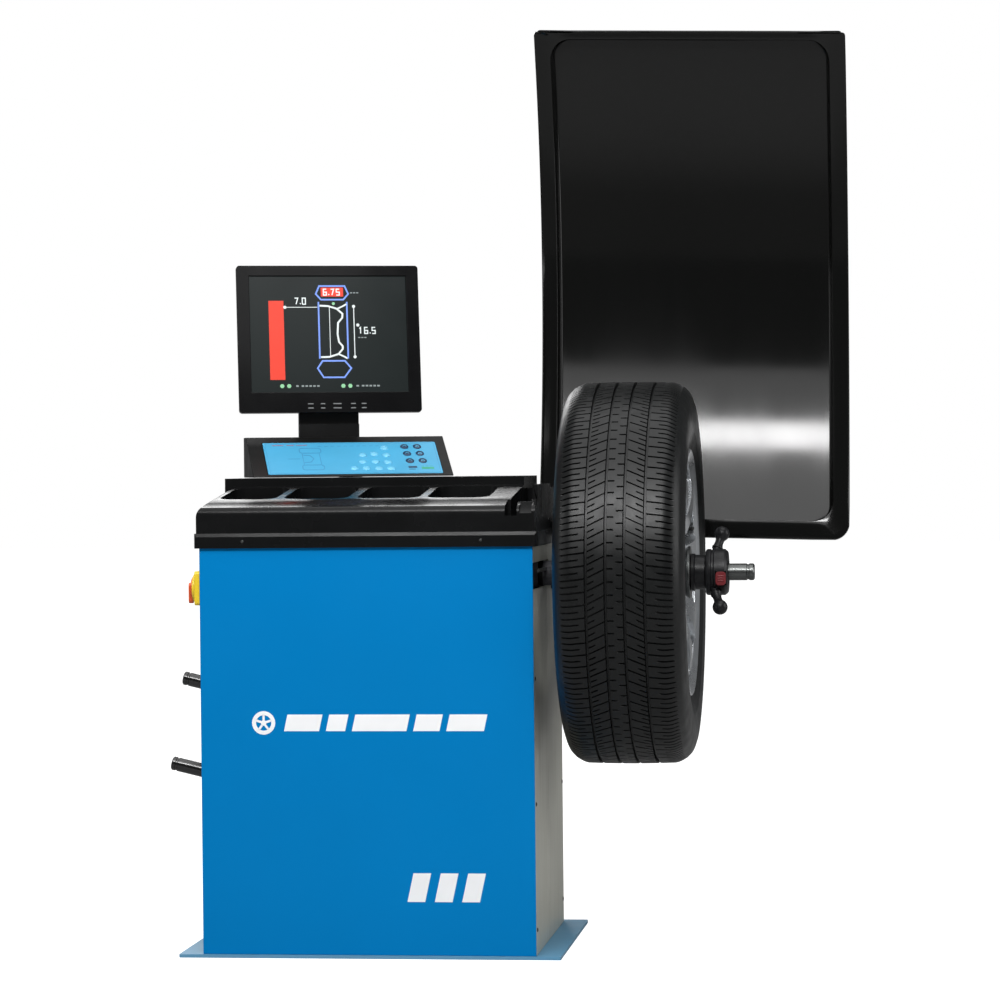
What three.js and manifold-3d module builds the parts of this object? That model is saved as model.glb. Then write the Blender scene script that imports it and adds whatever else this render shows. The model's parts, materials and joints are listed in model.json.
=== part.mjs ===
// Wheel balancer with a wheel clamped on its spindle. Millimetres, +X along the spindle towards the
// free end, -Y towards the operator, +Z up. The origin is on the floor, under the cabinet's centre.
import * as THREE from 'three';
import { mergeVertices } from 'three/addons/utils/BufferGeometryUtils.js';
import Module from 'manifold-3d';

const wasm = await Module();
wasm.setup();

// ---------------------------------------------------------------- driving dimensions
const GAP = 0.4;                 // clearance left between separate pieces
const SHEET = 2;                 // cabinet sheet steel
const CABINET_W = 588;
const CABINET_D = 464;
const CABINET_TOP = 734;         // the sheets end inside the tray's skirt
const BASE_T = 6;
const BASE_W = 673;
const BASE_FRONT = 236;          // plate edge in front of the cabinet's centre
const BASE_REAR = 258;
const TRAY_W = 604;
const TRAY_D = 476;
const TRAY_LIP_Z = 717;
const TRAY_STEP_Z = 743;
const TRAY_TOP_Z = 838;          // rear platform that carries the swivelling head
const TRAY_WALL = 4;
const RIDGE_Y = 25;              // front face of the rear platform
const SPINDLE_Y = -57;
const SPINDLE_Z = 665;
const SHAFT_R = 15;
const SHAFT_END = 669;
const WHEEL_X = 452;             // middle plane of the wheel
const TYRE_R = 338;              // 225/60 R16
const TYRE_W = 228;
const BEAD_R = 203;
const RIM_W = 212;
const RIM_INNER_R = 184;
const RIM_FACE_X = 500;          // mounting face of the rim
const HEAD_TURN = 17;            // degrees the head is turned towards the wheel
const HEAD_X = -89;
const HEAD_Y = 164;
const HEAD_Z = 839.2;
const HEAD_LEFT = 190;           // head's ends, measured from its pivot
const HEAD_RIGHT = 180;
const HEAD_D = 167;
const HEAD_SLOPE = 30;           // keypad slope, degrees from level
const SLOPE_RUN = 124.4;         // depth of the slope, seen from above
const HEAD_LIP = 2.5;            // height of the head's front edge
const NECK_U = -32;              // monitor neck, across from the head's pivot
const NECK_B = 62;               // and behind it
const NECK_H = 90;
const MONITOR_W = 342;
const MONITOR_H = 278;
const MONITOR_TILT = 8;
const MONITOR_MID_Z = 253.8;     // middle of the monitor above the head's underside
const HOOD_LEFT = 244;
const HOOD_RIGHT = 829;
const HOOD_LOW = 724;
const HOOD_HIGH = 1666;
const GAUGE_Y = 70;
const GAUGE_Z = 640;
const GAUGE_R = 7;
const BUTTON_X = 611;            // middle of the quick nut's release button
const HOOD_EDGE_Y = 300;         // front face of the hood's top and bottom edges
const HOOD_SAG = 110;            // depth of the hood's arc
const HINGE_Y = 264;
const HINGE_Z = 800;

const BACK = CABINET_D / 2;
const SIDE = CABINET_W / 2;
const deg = THREE.MathUtils.degToRad;
const HEAD_TOP = HEAD_LIP + Math.tan(deg(HEAD_SLOPE)) * SLOPE_RUN;
const TILT_Z = HEAD_TOP + NECK_H - 14;   // the monitor's tilt axis, above the head's underside
const RETURN = 20;               // depth of the folded edges on the sheets
const SLOT_LOW = SPINDLE_Z - 26;
const SLOT_HIGH = SPINDLE_Z + 26;
const SLOT_END_Y = 22;
const SHEET_Z0 = BASE_T + GAP;
const FRAME_X = SIDE - SHEET - RETURN - 12;
const FRAME_Y = BACK - 34;
const ANGLE_LEG = 30;
const ANGLE_T = 4;
const SHELF_Z = 300;             // motor shelf
const BED_Z = 540;               // top of the bed that carries the spindle unit
const POCKET_FLOOR = 772;
const POCKET_FRONT = -172;
const POCKET_BACK = 4;
const POCKETS = [[-272, -170], [-157, -42], [-26, 86], [99, 210]];
const TROUGH_X = [252, 290];
const TROUGH_Y = [-200, 62];
const TROUGH_FLOOR = 764;
const MAIN_TOP_END = 248;        // right end of the high tray surface
const POCKET_CORNER = 28;        // seen from above
const NOSE_R = 22;               // housing where it leaves the cabinet
const JOURNAL_R = 16.5;          // shaft through the nose and the backing flange
const HOUSING_R = 46;
const PULLEY_X = 24;             // middle of the belt
const BELT_W = 18;
const SPINDLE_PULLEY_R = 78;
const MOTOR_PULLEY_R = 22;
const MOTOR_X = PULLEY_X;
const MOTOR_Z = 380;
const BELT_T = 3;
const PLATE_T = 10;              // spring plates
const FLANGE_R = 100;
const RING_STEPS = 40;           // facets round the tyre and the rim
const SPOKES = 7;
const SPINDLE_NOSE_X = 330;      // end of the bearing housing
const HUB_R = 40;
const NUT_X0 = 583;
const NUT_X1 = 623;
const NUT_R = 41;
const ARM_ANGLES = [62, 233];    // degrees from +Y towards +Z
const ARM_LEAN = 15;             // degrees the handles lean out along the shaft
const ARM_X = 599;
const ARM_FOOT = NUT_R - 6;      // how far from the shaft's axis the handles start
const HEAD_WALL = 3;
const PAD_HALF = 162;            // half the membrane's width
const PAD_LOW = 5;               // its edges up the slope
const PAD_HIGH = 122;
const KEY_COLUMNS = [102, 126];  // the function keys, three rows of two
const KEY_ROWS = [104, 78, 51];
const KEY_LEAN = 1.8;            // each row sits this much further right than the one above
const FUNCTION_KEYS = KEY_ROWS.flatMap((v, row) => KEY_COLUMNS.map((u) => [u + row * KEY_LEAN, v]));
const HOOD_HALF_CHORD = (HOOD_HIGH - HOOD_LOW) / 2;
const HOOD_R = (HOOD_HALF_CHORD ** 2 + HOOD_SAG ** 2) / (2 * HOOD_SAG);
const HOOD_MID_Z = (HOOD_HIGH + HOOD_LOW) / 2;
const HOOD_AXIS_Y = HOOD_EDGE_Y + HOOD_SAG - HOOD_R;
const HOOD_SHEET = 3;
const HOOD_SKEW = 0.027;         // its edges fall this much for each mm to the right
const HOOD_RECESS = 26;
const HOOD_RIM = 30;
const HOOD_SHAFT_R = 14;
const SWING_X = 205;             // the arm plate runs beside the hood's left edge
const ARM_TUBE_R = 14;
const ARM_TUBE_END = 560;
const VENTS = 7;                 // slots in the rear panel
const PEG_R = 12.5;              // pegs that hold spare cones
const PEG_LENGTH = 82;
const PEG_RISE = 13.5;           // degrees the pegs point upwards
const SWITCH_Y = -196;
const SWITCH_Z = 647;
const KEY_A = 7.5;               // half the length and height of a function key
const KEY_B = 8.8;

// ---------------------------------------------------------------- materials
const paint = (color, roughness = 0.45, metalness = 0.1) =>
  new THREE.MeshStandardMaterial({ color, roughness, metalness });

const BLUE = paint(0x0a78bd);
const TAUPE = paint(0x77736e, 0.4, 0.2);
const BLACK_PLASTIC = paint(0x1b1b1c, 0.4, 0);
const GLOSS_BLACK = paint(0x0b0c0e, 0.12, 0);
const BLACK_METAL = paint(0x1a1a1b, 0.35, 0.3);
const STEEL = paint(0xa9abad, 0.3, 1);
const CAST = paint(0x4b4d50, 0.6, 0.6);
const ALLOY = paint(0xb9bdc2, 0.3, 1);
const TYRE_RUBBER = paint(0x202225, 0.8, 0);
const RUBBER = paint(0x141414, 0.85, 0);
const KEYPAD_BLUE = paint(0x5abef0, 0.4, 0);
const KEY_DARK = paint(0x23364a, 0.4, 0);
const SCREEN = paint(0x20282a, 0.25, 0);
const YELLOW = paint(0xe8c51c, 0.4, 0);
const RED = paint(0xd8401f, 0.35, 0);
const BOARD = paint(0x8b8f94, 0.5, 0.3);
const BRASS = paint(0xb08d4a, 0.4, 1);

// ---------------------------------------------------------------- solids
function solid(geometry) {
  const bare = geometry.clone();
  bare.deleteAttribute('normal');
  bare.deleteAttribute('uv');
  const welded = mergeVertices(bare, 1e-4);
  const corners = welded.index.array;
  const kept = [];
  for (let i = 0; i < corners.length; i += 3) {
    const [a, b, c] = [corners[i], corners[i + 1], corners[i + 2]];
    if (a !== b && b !== c && c !== a) kept.push(a, b, c);
  }
  return new wasm.Manifold(new wasm.Mesh({
    numProp: 3,
    vertProperties: Float32Array.from(welded.attributes.position.array),
    triVerts: Uint32Array.from(kept),
  }));
}

function geometryOf(body) {
  const mesh = body.getMesh();
  const geometry = new THREE.BufferGeometry();
  geometry.setAttribute('position', new THREE.BufferAttribute(Float32Array.from(mesh.vertProperties), 3));
  geometry.setIndex(new THREE.BufferAttribute(Uint32Array.from(mesh.triVerts), 1));
  return geometry;
}

const root = new THREE.Group();

function piece(name, body, material, parent = root) {
  const mesh = new THREE.Mesh(geometryOf(body), material);
  mesh.name = name;
  parent.add(mesh);
  return mesh;
}

function group(parent, x, y, z, turnZ = 0) {
  const holder = new THREE.Group();
  holder.position.set(x, y, z);
  holder.rotation.z = turnZ;
  parent.add(holder);
  return holder;
}

function joined(bodies) {
  return bodies.reduce((sum, body) => sum.add(body));
}

function block(x0, x1, y0, y1, z0, z1) {
  const box = new THREE.BoxGeometry(x1 - x0, y1 - y0, z1 - z0);
  box.translate((x0 + x1) / 2, (y0 + y1) / 2, (z0 + z1) / 2);
  return solid(box);
}

function extrude(shape, depth, basis, curveSegments) {
  const geometry = new THREE.ExtrudeGeometry(shape, { depth, bevelEnabled: false, curveSegments });
  geometry.applyMatrix4(basis);
  return solid(geometry);
}

function outline(points) {
  return new THREE.Shape(points.map(([a, b]) => new THREE.Vector2(a, b)));
}

// An outline in (y, z) drawn out along X, in (x, z) along Y, or in (x, y) along Z.
function alongX(shape, x0, x1, curveSegments = 8) {
  const basis = new THREE.Matrix4().set(0, 0, 1, x0, 1, 0, 0, 0, 0, 1, 0, 0, 0, 0, 0, 1);
  return extrude(shape, x1 - x0, basis, curveSegments);
}

function alongY(shape, y0, y1, curveSegments = 8) {
  const basis = new THREE.Matrix4().set(1, 0, 0, 0, 0, 0, -1, y1, 0, 1, 0, 0, 0, 0, 0, 1);
  return extrude(shape, y1 - y0, basis, curveSegments);
}

function alongZ(shape, z0, z1, curveSegments = 8) {
  const basis = new THREE.Matrix4().makeTranslation(0, 0, z0);
  return extrude(shape, z1 - z0, basis, curveSegments);
}

function roundedRect(a0, a1, b0, b1, low, high = low) {
  const shape = new THREE.Shape();
  shape.moveTo(a0 + low, b0);
  shape.lineTo(a1 - low, b0);
  shape.absarc(a1 - low, b0 + low, low, -Math.PI / 2, 0);
  shape.lineTo(a1, b1 - high);
  shape.absarc(a1 - high, b1 - high, high, 0, Math.PI / 2);
  shape.lineTo(a0 + high, b1);
  shape.absarc(a0 + high, b1 - high, high, Math.PI / 2, Math.PI);
  shape.lineTo(a0, b0 + low);
  shape.absarc(a0 + low, b0 + low, low, Math.PI, 1.5 * Math.PI);
  return shape;
}

// A profile of [x, r] points turned about the X axis; it runs anticlockwise seen with r to the right.
function turnedX(profile, segments = 32) {
  const geometry = new THREE.LatheGeometry(profile.map(([x, r]) => new THREE.Vector2(r, x)), segments);
  geometry.rotateZ(-Math.PI / 2);
  return solid(geometry);
}

function rodX(x0, x1, r, segments = 16) {
  return turnedX([[x0, 0], [x0, r], [x1, r], [x1, 0]], segments);
}

function tubeX(x0, x1, rIn, rOut, segments = 24) {
  return turnedX([[x0, rIn], [x0, rOut], [x1, rOut], [x1, rIn], [x0, rIn]], segments);
}

function rodZ(z0, z1, r, segments = 16) {
  return rodX(z0, z1, r, segments).rotate([0, -90, 0]);
}

// ---------------------------------------------------------------- base and cabinet
function makeBase() {
  const plate = alongZ(roundedRect(-BASE_W / 2, BASE_W / 2, -BASE_FRONT, BASE_REAR, 3), 0, BASE_T, 3);
  piece('base_plate', plate, BLUE);
}

function makeFrontPanel() {
  const inner = SIDE - SHEET - GAP;
  const section = outline([
    [-SIDE, -BACK], [SIDE, -BACK], [SIDE, -BACK + SHEET], [inner, -BACK + SHEET],
    [inner, -BACK + RETURN], [inner - SHEET, -BACK + RETURN], [inner - SHEET, -BACK + SHEET],
    [-inner + SHEET, -BACK + SHEET], [-inner + SHEET, -BACK + RETURN], [-inner, -BACK + RETURN],
    [-inner, -BACK + SHEET], [-SIDE, -BACK + SHEET],
  ]);
  piece('front_panel', alongZ(section, SHEET_Z0, CABINET_TOP), BLUE);
}

function makeSidePanel(side) {
  const outer = side * SIDE;
  const inner = side * (SIDE - SHEET);
  const [x0, x1] = side > 0 ? [inner, outer] : [outer, inner];
  const front = -BACK + SHEET + GAP;
  let sheet = block(x0, x1, front, BACK, SHEET_Z0, CABINET_TOP);
  const foldX = side * (SIDE - SHEET - RETURN);
  const foldSpan = [Math.min(foldX, inner), Math.max(foldX, inner)];
  const fold = block(...foldSpan, BACK - SHEET, BACK, SHEET_Z0, CABINET_TOP);
  sheet = sheet.add(fold);
  if (side > 0) {
    sheet = sheet.subtract(block(x0 - 1, x1 + 1, front - 1, SLOT_END_Y, SLOT_LOW + 3, SLOT_HIGH - 3));
    const gaugeHole = rodX(x0 - 1, x1 + 1, GAUGE_R + 3).translate([0, GAUGE_Y, GAUGE_Z]);
    sheet = sheet.subtract(gaugeHole);
  }
  piece(side > 0 ? 'side_panel_right' : 'side_panel_left', sheet, TAUPE);
}

function makeRearPanel() {
  const half = SIDE - SHEET - RETURN - GAP;
  let sheet = block(-half, half, BACK - SHEET, BACK, SHEET_Z0, CABINET_TOP);
  for (let i = 0; i < VENTS; i += 1) {
    const z = 150 + i * 16;
    sheet = sheet.subtract(block(-70, 70, BACK - SHEET - 1, BACK + 1, z, z + 5));
  }
  piece('rear_panel', sheet, TAUPE);
  const inlet = rodX(0, 9, 15).rotate([0, 0, 90]).translate([-180, BACK + GAP, 90]);
  piece('mains_inlet', inlet, BLACK_PLASTIC);
}

function makeFrame() {
  const parts = [];
  for (const sx of [-1, 1]) {
    for (const sy of [-1, 1]) {
      const [x, y] = [sx * FRAME_X, sy * FRAME_Y];
      const [xi, yi] = [x - sx * ANGLE_LEG, y - sy * ANGLE_LEG];
      const [xt, yt] = [x - sx * ANGLE_T, y - sy * ANGLE_T];
      const z = [SHEET_Z0, TRAY_LIP_Z - 6];
      parts.push(block(Math.min(x, xi), Math.max(x, xi), Math.min(y, yt), Math.max(y, yt), ...z));
      parts.push(block(Math.min(x, xt), Math.max(x, xt), Math.min(y, yi), Math.max(y, yi), ...z));
    }
  }
  for (const sy of [-1, 1]) {
    const middle = sy * (FRAME_Y - ANGLE_T / 2);
    const y = [middle - ANGLE_T / 2, middle + ANGLE_T / 2];
    parts.push(block(-FRAME_X, FRAME_X, ...y, TRAY_LIP_Z - 36, TRAY_LIP_Z - 6));
  }
  parts.push(block(-FRAME_X, FRAME_X, -FRAME_Y, FRAME_Y, SHELF_Z - ANGLE_T, SHELF_Z));
  parts.push(block(-FRAME_X, FRAME_X, -FRAME_Y, FRAME_Y, BED_Z - 2 * ANGLE_T, BED_Z));
  const beltSlot = block(MOTOR_X - 30, MOTOR_X + 30, SPINDLE_Y - 100, SPINDLE_Y + 100, BED_Z - 20, BED_Z + 1);
  piece('inner_frame', joined(parts).subtract(beltSlot), BLACK_METAL);
}

function makeSlotCover() {
  const plate = block(SIDE + GAP, SIDE + 5, -BACK + 3, SLOT_END_Y + 8, SLOT_LOW, SLOT_HIGH);
  const bead = block(SIDE + 4, SIDE + 9, -BACK + 50, SLOT_END_Y + 2, SPINDLE_Z + 6, SPINDLE_Z + 12);
  const hole = rodX(SIDE - 5, SIDE + 12, NOSE_R + 1).translate([0, SPINDLE_Y, SPINDLE_Z]);
  piece('spindle_slot_cover', plate.add(bead).subtract(hole), BLACK_METAL);
}

function makePegs() {
  const pegs = [['cone_peg_upper', 5, 457], ['cone_peg_lower', -100, 311]];
  for (const [name, y, z] of pegs) {
    const rod = turnedX([
      [-10, 0], [-10, PEG_R], [PEG_LENGTH - 3, PEG_R], [PEG_LENGTH, PEG_R - 3], [PEG_LENGTH, 0],
    ], 16).rotate([0, -PEG_RISE, 0]);
    const flange = rodX(0, 3, 22);
    const cut = block(-40, 0, -40, 40, -60, 60);
    const peg = rod.subtract(cut).add(flange).rotate([0, 0, 180]);
    piece(name, peg.translate([-SIDE - GAP, y, z]), BLACK_PLASTIC);
  }
}

function makeSwitch() {
  const panel = group(root, -SIDE - GAP, SWITCH_Y, SWITCH_Z);
  const body = alongX(roundedRect(-30, 30, -30, 30, 6), -10, 0, 3).add(rodX(-16, -9, 25, 32));
  piece('switch_plate', body, YELLOW, panel);
  const collar = rodX(-19, -16 - GAP, 19, 28);
  const bar = alongX(roundedRect(-7, 7, -27, 9, 6), -25, -18, 4);
  piece('switch_knob', collar.add(bar), RED, panel);
}

// ---------------------------------------------------------------- weight and tool tray

function trayTop(inset) {
  const y0 = -TRAY_D / 2 + 3.5 + inset;
  return outline([
    [y0, TRAY_STEP_Z - 20 - inset], [TRAY_D / 2 - 3.5 - inset, TRAY_STEP_Z - 20 - inset],
    [TRAY_D / 2 - 3.5 - inset, TRAY_TOP_Z - inset], [RIDGE_Y + inset, TRAY_TOP_Z - inset],
    [RIDGE_Y + inset, 823 - inset], [-180, 801 - inset], [-226 + inset / 2, 786 - inset],
    [y0, 777 - inset],
  ]);
}

function pocketWell(x0, x1, wall, top) {
  const [y0, y1] = [POCKET_FRONT - wall, POCKET_BACK + wall];
  const well = roundedRect(x0 - wall, x1 + wall, y0, y1, POCKET_CORNER + wall);
  return alongZ(well, POCKET_FLOOR - wall, top, 3);
}

function troughWell(wall, top) {
  const [x0, x1] = TROUGH_X;
  const [y0, y1] = TROUGH_Y;
  const well = roundedRect(x0 - wall, x1 + wall, y0 - wall, y1 + wall, 4 + wall);
  return alongZ(well, TROUGH_FLOOR - wall, top, 2);
}

function makeTray() {
  const half = TRAY_W / 2;
  const upperHalf = half - 3.5;
  const depth = TRAY_D / 2;
  const lip = block(-half, half, -depth, depth, TRAY_LIP_Z, TRAY_STEP_Z);
  const outer = lip.add(alongX(trayTop(0), -upperHalf, upperHalf));
  const cavityLow = block(-half + TRAY_WALL, half - TRAY_WALL, -depth + TRAY_WALL, depth - TRAY_WALL,
    TRAY_LIP_Z - 1, TRAY_STEP_Z - TRAY_WALL);
  const cavity = cavityLow.add(alongX(trayTop(TRAY_WALL), -upperHalf + TRAY_WALL, upperHalf - TRAY_WALL));
  let tray = outer.subtract(cavity);
  const ceiling = 812;
  for (const [x0, x1] of POCKETS) {
    const skin = pocketWell(x0, x1, TRAY_WALL, ceiling).intersect(outer);
    tray = tray.add(skin).subtract(pocketWell(x0, x1, 0, TRAY_TOP_Z));
  }
  const endFloor = alongX(outline([
    [-depth - 1, TROUGH_FLOOR - TRAY_WALL], [depth - 4, TROUGH_FLOOR - TRAY_WALL],
    [depth - 4, 845], [-depth - 1, 845],
  ]), MAIN_TOP_END, upperHalf).intersect(outer);
  tray = tray.add(endFloor).subtract(troughWell(0, TRAY_TOP_Z + 1));
  tray = tray.subtract(block(MAIN_TOP_END - 2, MAIN_TOP_END + 19, -depth - 1, TROUGH_Y[0] + 10, 770, 850));
  const ramp = outline([[-depth - 1, 772], [-190, 801], [-190, 850], [-depth - 1, 850]]);
  tray = tray.subtract(alongX(ramp, MAIN_TOP_END + 23, upperHalf - 6));
  tray = tray.subtract(block(MAIN_TOP_END + 3, half + 1, RIDGE_Y - 1, depth + 1, 816, 850));
  const guard = block(TROUGH_X[1], upperHalf, -188, 10, 790, 824);
  piece('weight_tray', tray.add(guard), BLACK_PLASTIC);
}

// ---------------------------------------------------------------- spindle unit inside the cabinet

function makeSpindle() {
  const spindle = group(root, 0, SPINDLE_Y, SPINDLE_Z);
  const housing = turnedX([
    [60, 38], [60, 60], [72, 60], [72, HOUSING_R], [278, HOUSING_R], [286, NOSE_R],
    [SPINDLE_NOSE_X, NOSE_R], [SPINDLE_NOSE_X, JOURNAL_R + 1], [280, JOURNAL_R + 1], [280, 38],
    [252, 38], [252, 34], [88, 34], [88, 38], [60, 38],
  ], 24);
  piece('bearing_housing', housing, CAST, spindle);
  piece('rear_bearing', tubeX(66, 88 - GAP, SHAFT_R + 5 + GAP, 38 - GAP), STEEL, spindle);
  piece('front_bearing', tubeX(252 + GAP, 278 - GAP, SHAFT_R + 5 + GAP, 38 - GAP), STEEL, spindle);
  const shaft = turnedX([
    [-12, 0], [-12, 14], [PULLEY_X - 16, 14], [PULLEY_X - 16, 20], [278, 20], [278, JOURNAL_R],
    [RIM_FACE_X - 20, JOURNAL_R], [RIM_FACE_X - 20, SHAFT_R], [SHAFT_END - 3, SHAFT_R],
    [SHAFT_END, SHAFT_R - 3], [SHAFT_END, 0],
  ], 20);
  piece('spindle_shaft', shaft, STEEL, spindle);
  const pulley = turnedX([
    [PULLEY_X - 14, 20 + GAP], [PULLEY_X - 14, 34], [PULLEY_X - 11, SPINDLE_PULLEY_R + 3],
    [PULLEY_X - 9, SPINDLE_PULLEY_R], [PULLEY_X + 9, SPINDLE_PULLEY_R],
    [PULLEY_X + 11, SPINDLE_PULLEY_R + 3], [PULLEY_X + 14, 34], [PULLEY_X + 14, 20 + GAP],
    [PULLEY_X - 14, 20 + GAP],
  ], 28);
  piece('spindle_pulley', pulley, BLACK_PLASTIC, spindle);
  piece('encoder_disc', tubeX(-4, -1.5, 14 + GAP, 42, 24), STEEL, spindle);
  const reader = block(-10, 5, -8, 8, 36, 70).subtract(block(-6, 1, -9, 9, 34, 60));
  piece('encoder_reader', reader.subtract(block(-11, 6, -9, 9, 30, 37)), BLACK_PLASTIC, spindle);
  return spindle;
}

function makeSuspension() {
  const top = SPINDLE_Z + 40;
  const face = outline([[-70, BED_Z + GAP], [70, BED_Z + GAP], [52, top], [-52, top]]);
  const sensorY = SPINDLE_Y + 70 + GAP;
  for (const [end, x] of [['rear', 104], ['front', 226]]) {
    const plate = alongX(face, x, x + PLATE_T).translate([0, SPINDLE_Y, 0]);
    const bore = rodX(x - 1, x + PLATE_T + 1, HOUSING_R + GAP, 32).translate([0, SPINDLE_Y, SPINDLE_Z]);
    piece(`suspension_plate_${end}`, plate.subtract(bore), STEEL);
    const sensor = rodX(0, 34, 11, 20).rotate([0, 0, 90]).translate([x + 5, sensorY, BED_Z + 60]);
    const holder = block(x - 10, x + 20, sensorY + 30, sensorY + 44, BED_Z + GAP, BED_Z + 78);
    piece(`force_sensor_${end}`, sensor.add(holder), BRASS);
  }
}

function beltOutline(extra) {
  const drop = SPINDLE_Z - MOTOR_Z;
  const big = SPINDLE_PULLEY_R + GAP + extra;
  const small = MOTOR_PULLEY_R + GAP + extra;
  const lean = Math.asin((big - small) / drop);
  const shape = new THREE.Shape();
  shape.absarc(0, 0, big, -lean, Math.PI + lean, false);
  shape.absarc(0, -drop, small, Math.PI + lean, 2 * Math.PI - lean, false);
  return shape;
}

function makeDrive() {
  const belt = alongX(beltOutline(BELT_T), PULLEY_X - BELT_W / 2 + 1, PULLEY_X + BELT_W / 2 - 1, 12);
  const space = alongX(beltOutline(0), PULLEY_X - BELT_W, PULLEY_X + BELT_W, 12);
  piece('drive_belt', belt.subtract(space).translate([0, SPINDLE_Y, SPINDLE_Z]), RUBBER);
  const axle = group(root, 0, SPINDLE_Y, MOTOR_Z);
  const can = rodX(56, 236, 60, 32).add(block(80, 210, -50, 50, SHELF_Z - MOTOR_Z + GAP, -30));
  const bore = rodX(50, 70, 11);
  piece('motor', can.subtract(bore), CAST, axle);
  piece('motor_shaft', rodX(PULLEY_X - 16, 68, 8), STEEL, axle);
  const pulley = tubeX(PULLEY_X - 13, PULLEY_X + 13, 8 + GAP, MOTOR_PULLEY_R, 28);
  piece('motor_pulley', pulley, BLACK_PLASTIC, axle);
  const box = block(-215, -60, -40, 150, SHELF_Z + GAP, SHELF_Z + 105);
  piece('power_box', box, BOARD);
}

// ---------------------------------------------------------------- clamped wheel
function makeWheel(spindle) {
  const flange = turnedX([
    [352, JOURNAL_R + GAP], [352, HUB_R], [RIM_FACE_X - 38, HUB_R], [RIM_FACE_X - 18, 70],
    [RIM_FACE_X - 18, FLANGE_R], [RIM_FACE_X - GAP, FLANGE_R], [RIM_FACE_X - GAP, 84],
    [RIM_FACE_X - 6, 82], [RIM_FACE_X - 6, JOURNAL_R + GAP], [352, JOURNAL_R + GAP],
  ], 28);
  piece('backing_flange', flange, STEEL, spindle);
  piece('tyre', turnedX(tyreSection(), RING_STEPS), TYRE_RUBBER, spindle);
  piece('rim', makeRim(), ALLOY, spindle);
  const cone = turnedX([
    [RIM_FACE_X + 6, SHAFT_R + GAP], [RIM_FACE_X + 6, 22], [RIM_FACE_X + 52, 46],
    [RIM_FACE_X + 56, 46], [RIM_FACE_X + 56, SHAFT_R + GAP], [RIM_FACE_X + 6, SHAFT_R + GAP],
  ], 28);
  piece('centring_cone', cone, STEEL, spindle);
}

function mirrored(left) {
  return left.map(([x, r]) => [-x, r]).reverse();
}

function tyreSection() {
  const half = TYRE_W / 2;
  const left = [
    [-93, BEAD_R + 1.5], [-94.5, BEAD_R + 13], [-101, BEAD_R + 20], [-111, BEAD_R + 40],
    [-half, TYRE_R - 68], [-half + 5, TYRE_R - 36], [-half + 18, TYRE_R - 13], [-half + 40, TYRE_R - 3],
  ];
  const lining = [
    [-half + 42, TYRE_R - 18], [-half + 12, TYRE_R - 66], [-99, BEAD_R + 38], [-82, BEAD_R + 20],
    [-70, BEAD_R + 1.5],
  ];
  const profile = [...left, [0, TYRE_R], ...mirrored(left), ...mirrored(lining), ...lining, left[0]];
  return profile.map(([x, r]) => [WHEEL_X + x, r]);
}

function makeRim() {
  const half = RIM_W / 2;
  const barrel = turnedX([
    [-half, 213], [-half, 217], [-half + 6, 219.5], [-half + 10, 214], [-half + 11.5, BEAD_R + 0.5],
    [-half + 38, BEAD_R - 2], [-half + 50, RIM_INNER_R + 5], [half - 62, RIM_INNER_R + 5],
    [half - 46, BEAD_R - 2], [half - 11.5, BEAD_R + 0.5], [half - 10, 214], [half - 6, 219.5], [half, 217],
    [half, 212], [half - 8, BEAD_R - 6], [half - 44, BEAD_R - 9], [half - 60, RIM_INNER_R],
    [-half + 48, RIM_INNER_R], [-half + 36, BEAD_R - 8], [-half + 8, BEAD_R - 6], [-half, 213],
  ].map(([x, r]) => [WHEEL_X + x, r]), RING_STEPS);
  const face = turnedX([
    [RIM_FACE_X, 33], [RIM_FACE_X, 72], [RIM_FACE_X + 34, 118], [RIM_FACE_X + 38, 160],
    [RIM_FACE_X + 30, BEAD_R - 5.5], [RIM_FACE_X + 48, BEAD_R - 4.5], [RIM_FACE_X + 56, 165],
    [RIM_FACE_X + 56, 130], [RIM_FACE_X + 46, 92], [RIM_FACE_X + 20, 66], [RIM_FACE_X + 26, 50],
    [RIM_FACE_X + 26, 33], [RIM_FACE_X, 33],
  ], RING_STEPS);
  const window = outline([[-13, 84], [13, 84], [52, 168], [0, 176], [-52, 168]]);
  const turns = Array.from({ length: SPOKES }, (_, i) => (360 / SPOKES) * i);
  const windows = turns.map((turn) => alongX(window, RIM_FACE_X - 10, RIM_FACE_X + 70).rotate([turn, 0, 0]));
  return barrel.add(face.subtract(joined(windows)));
}

// ---------------------------------------------------------------- quick clamping nut

// Places a handle drawn along Z from the shaft's axis at its angle round the nut, leaning outwards.
function onArm(body, angle) {
  const upright = body.translate([0, 0, -ARM_FOOT]);
  const leaning = upright.rotate([0, ARM_LEAN, 0]).translate([ARM_X, 0, ARM_FOOT]);
  return leaning.rotate([angle - 90, 0, 0]);
}

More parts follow.
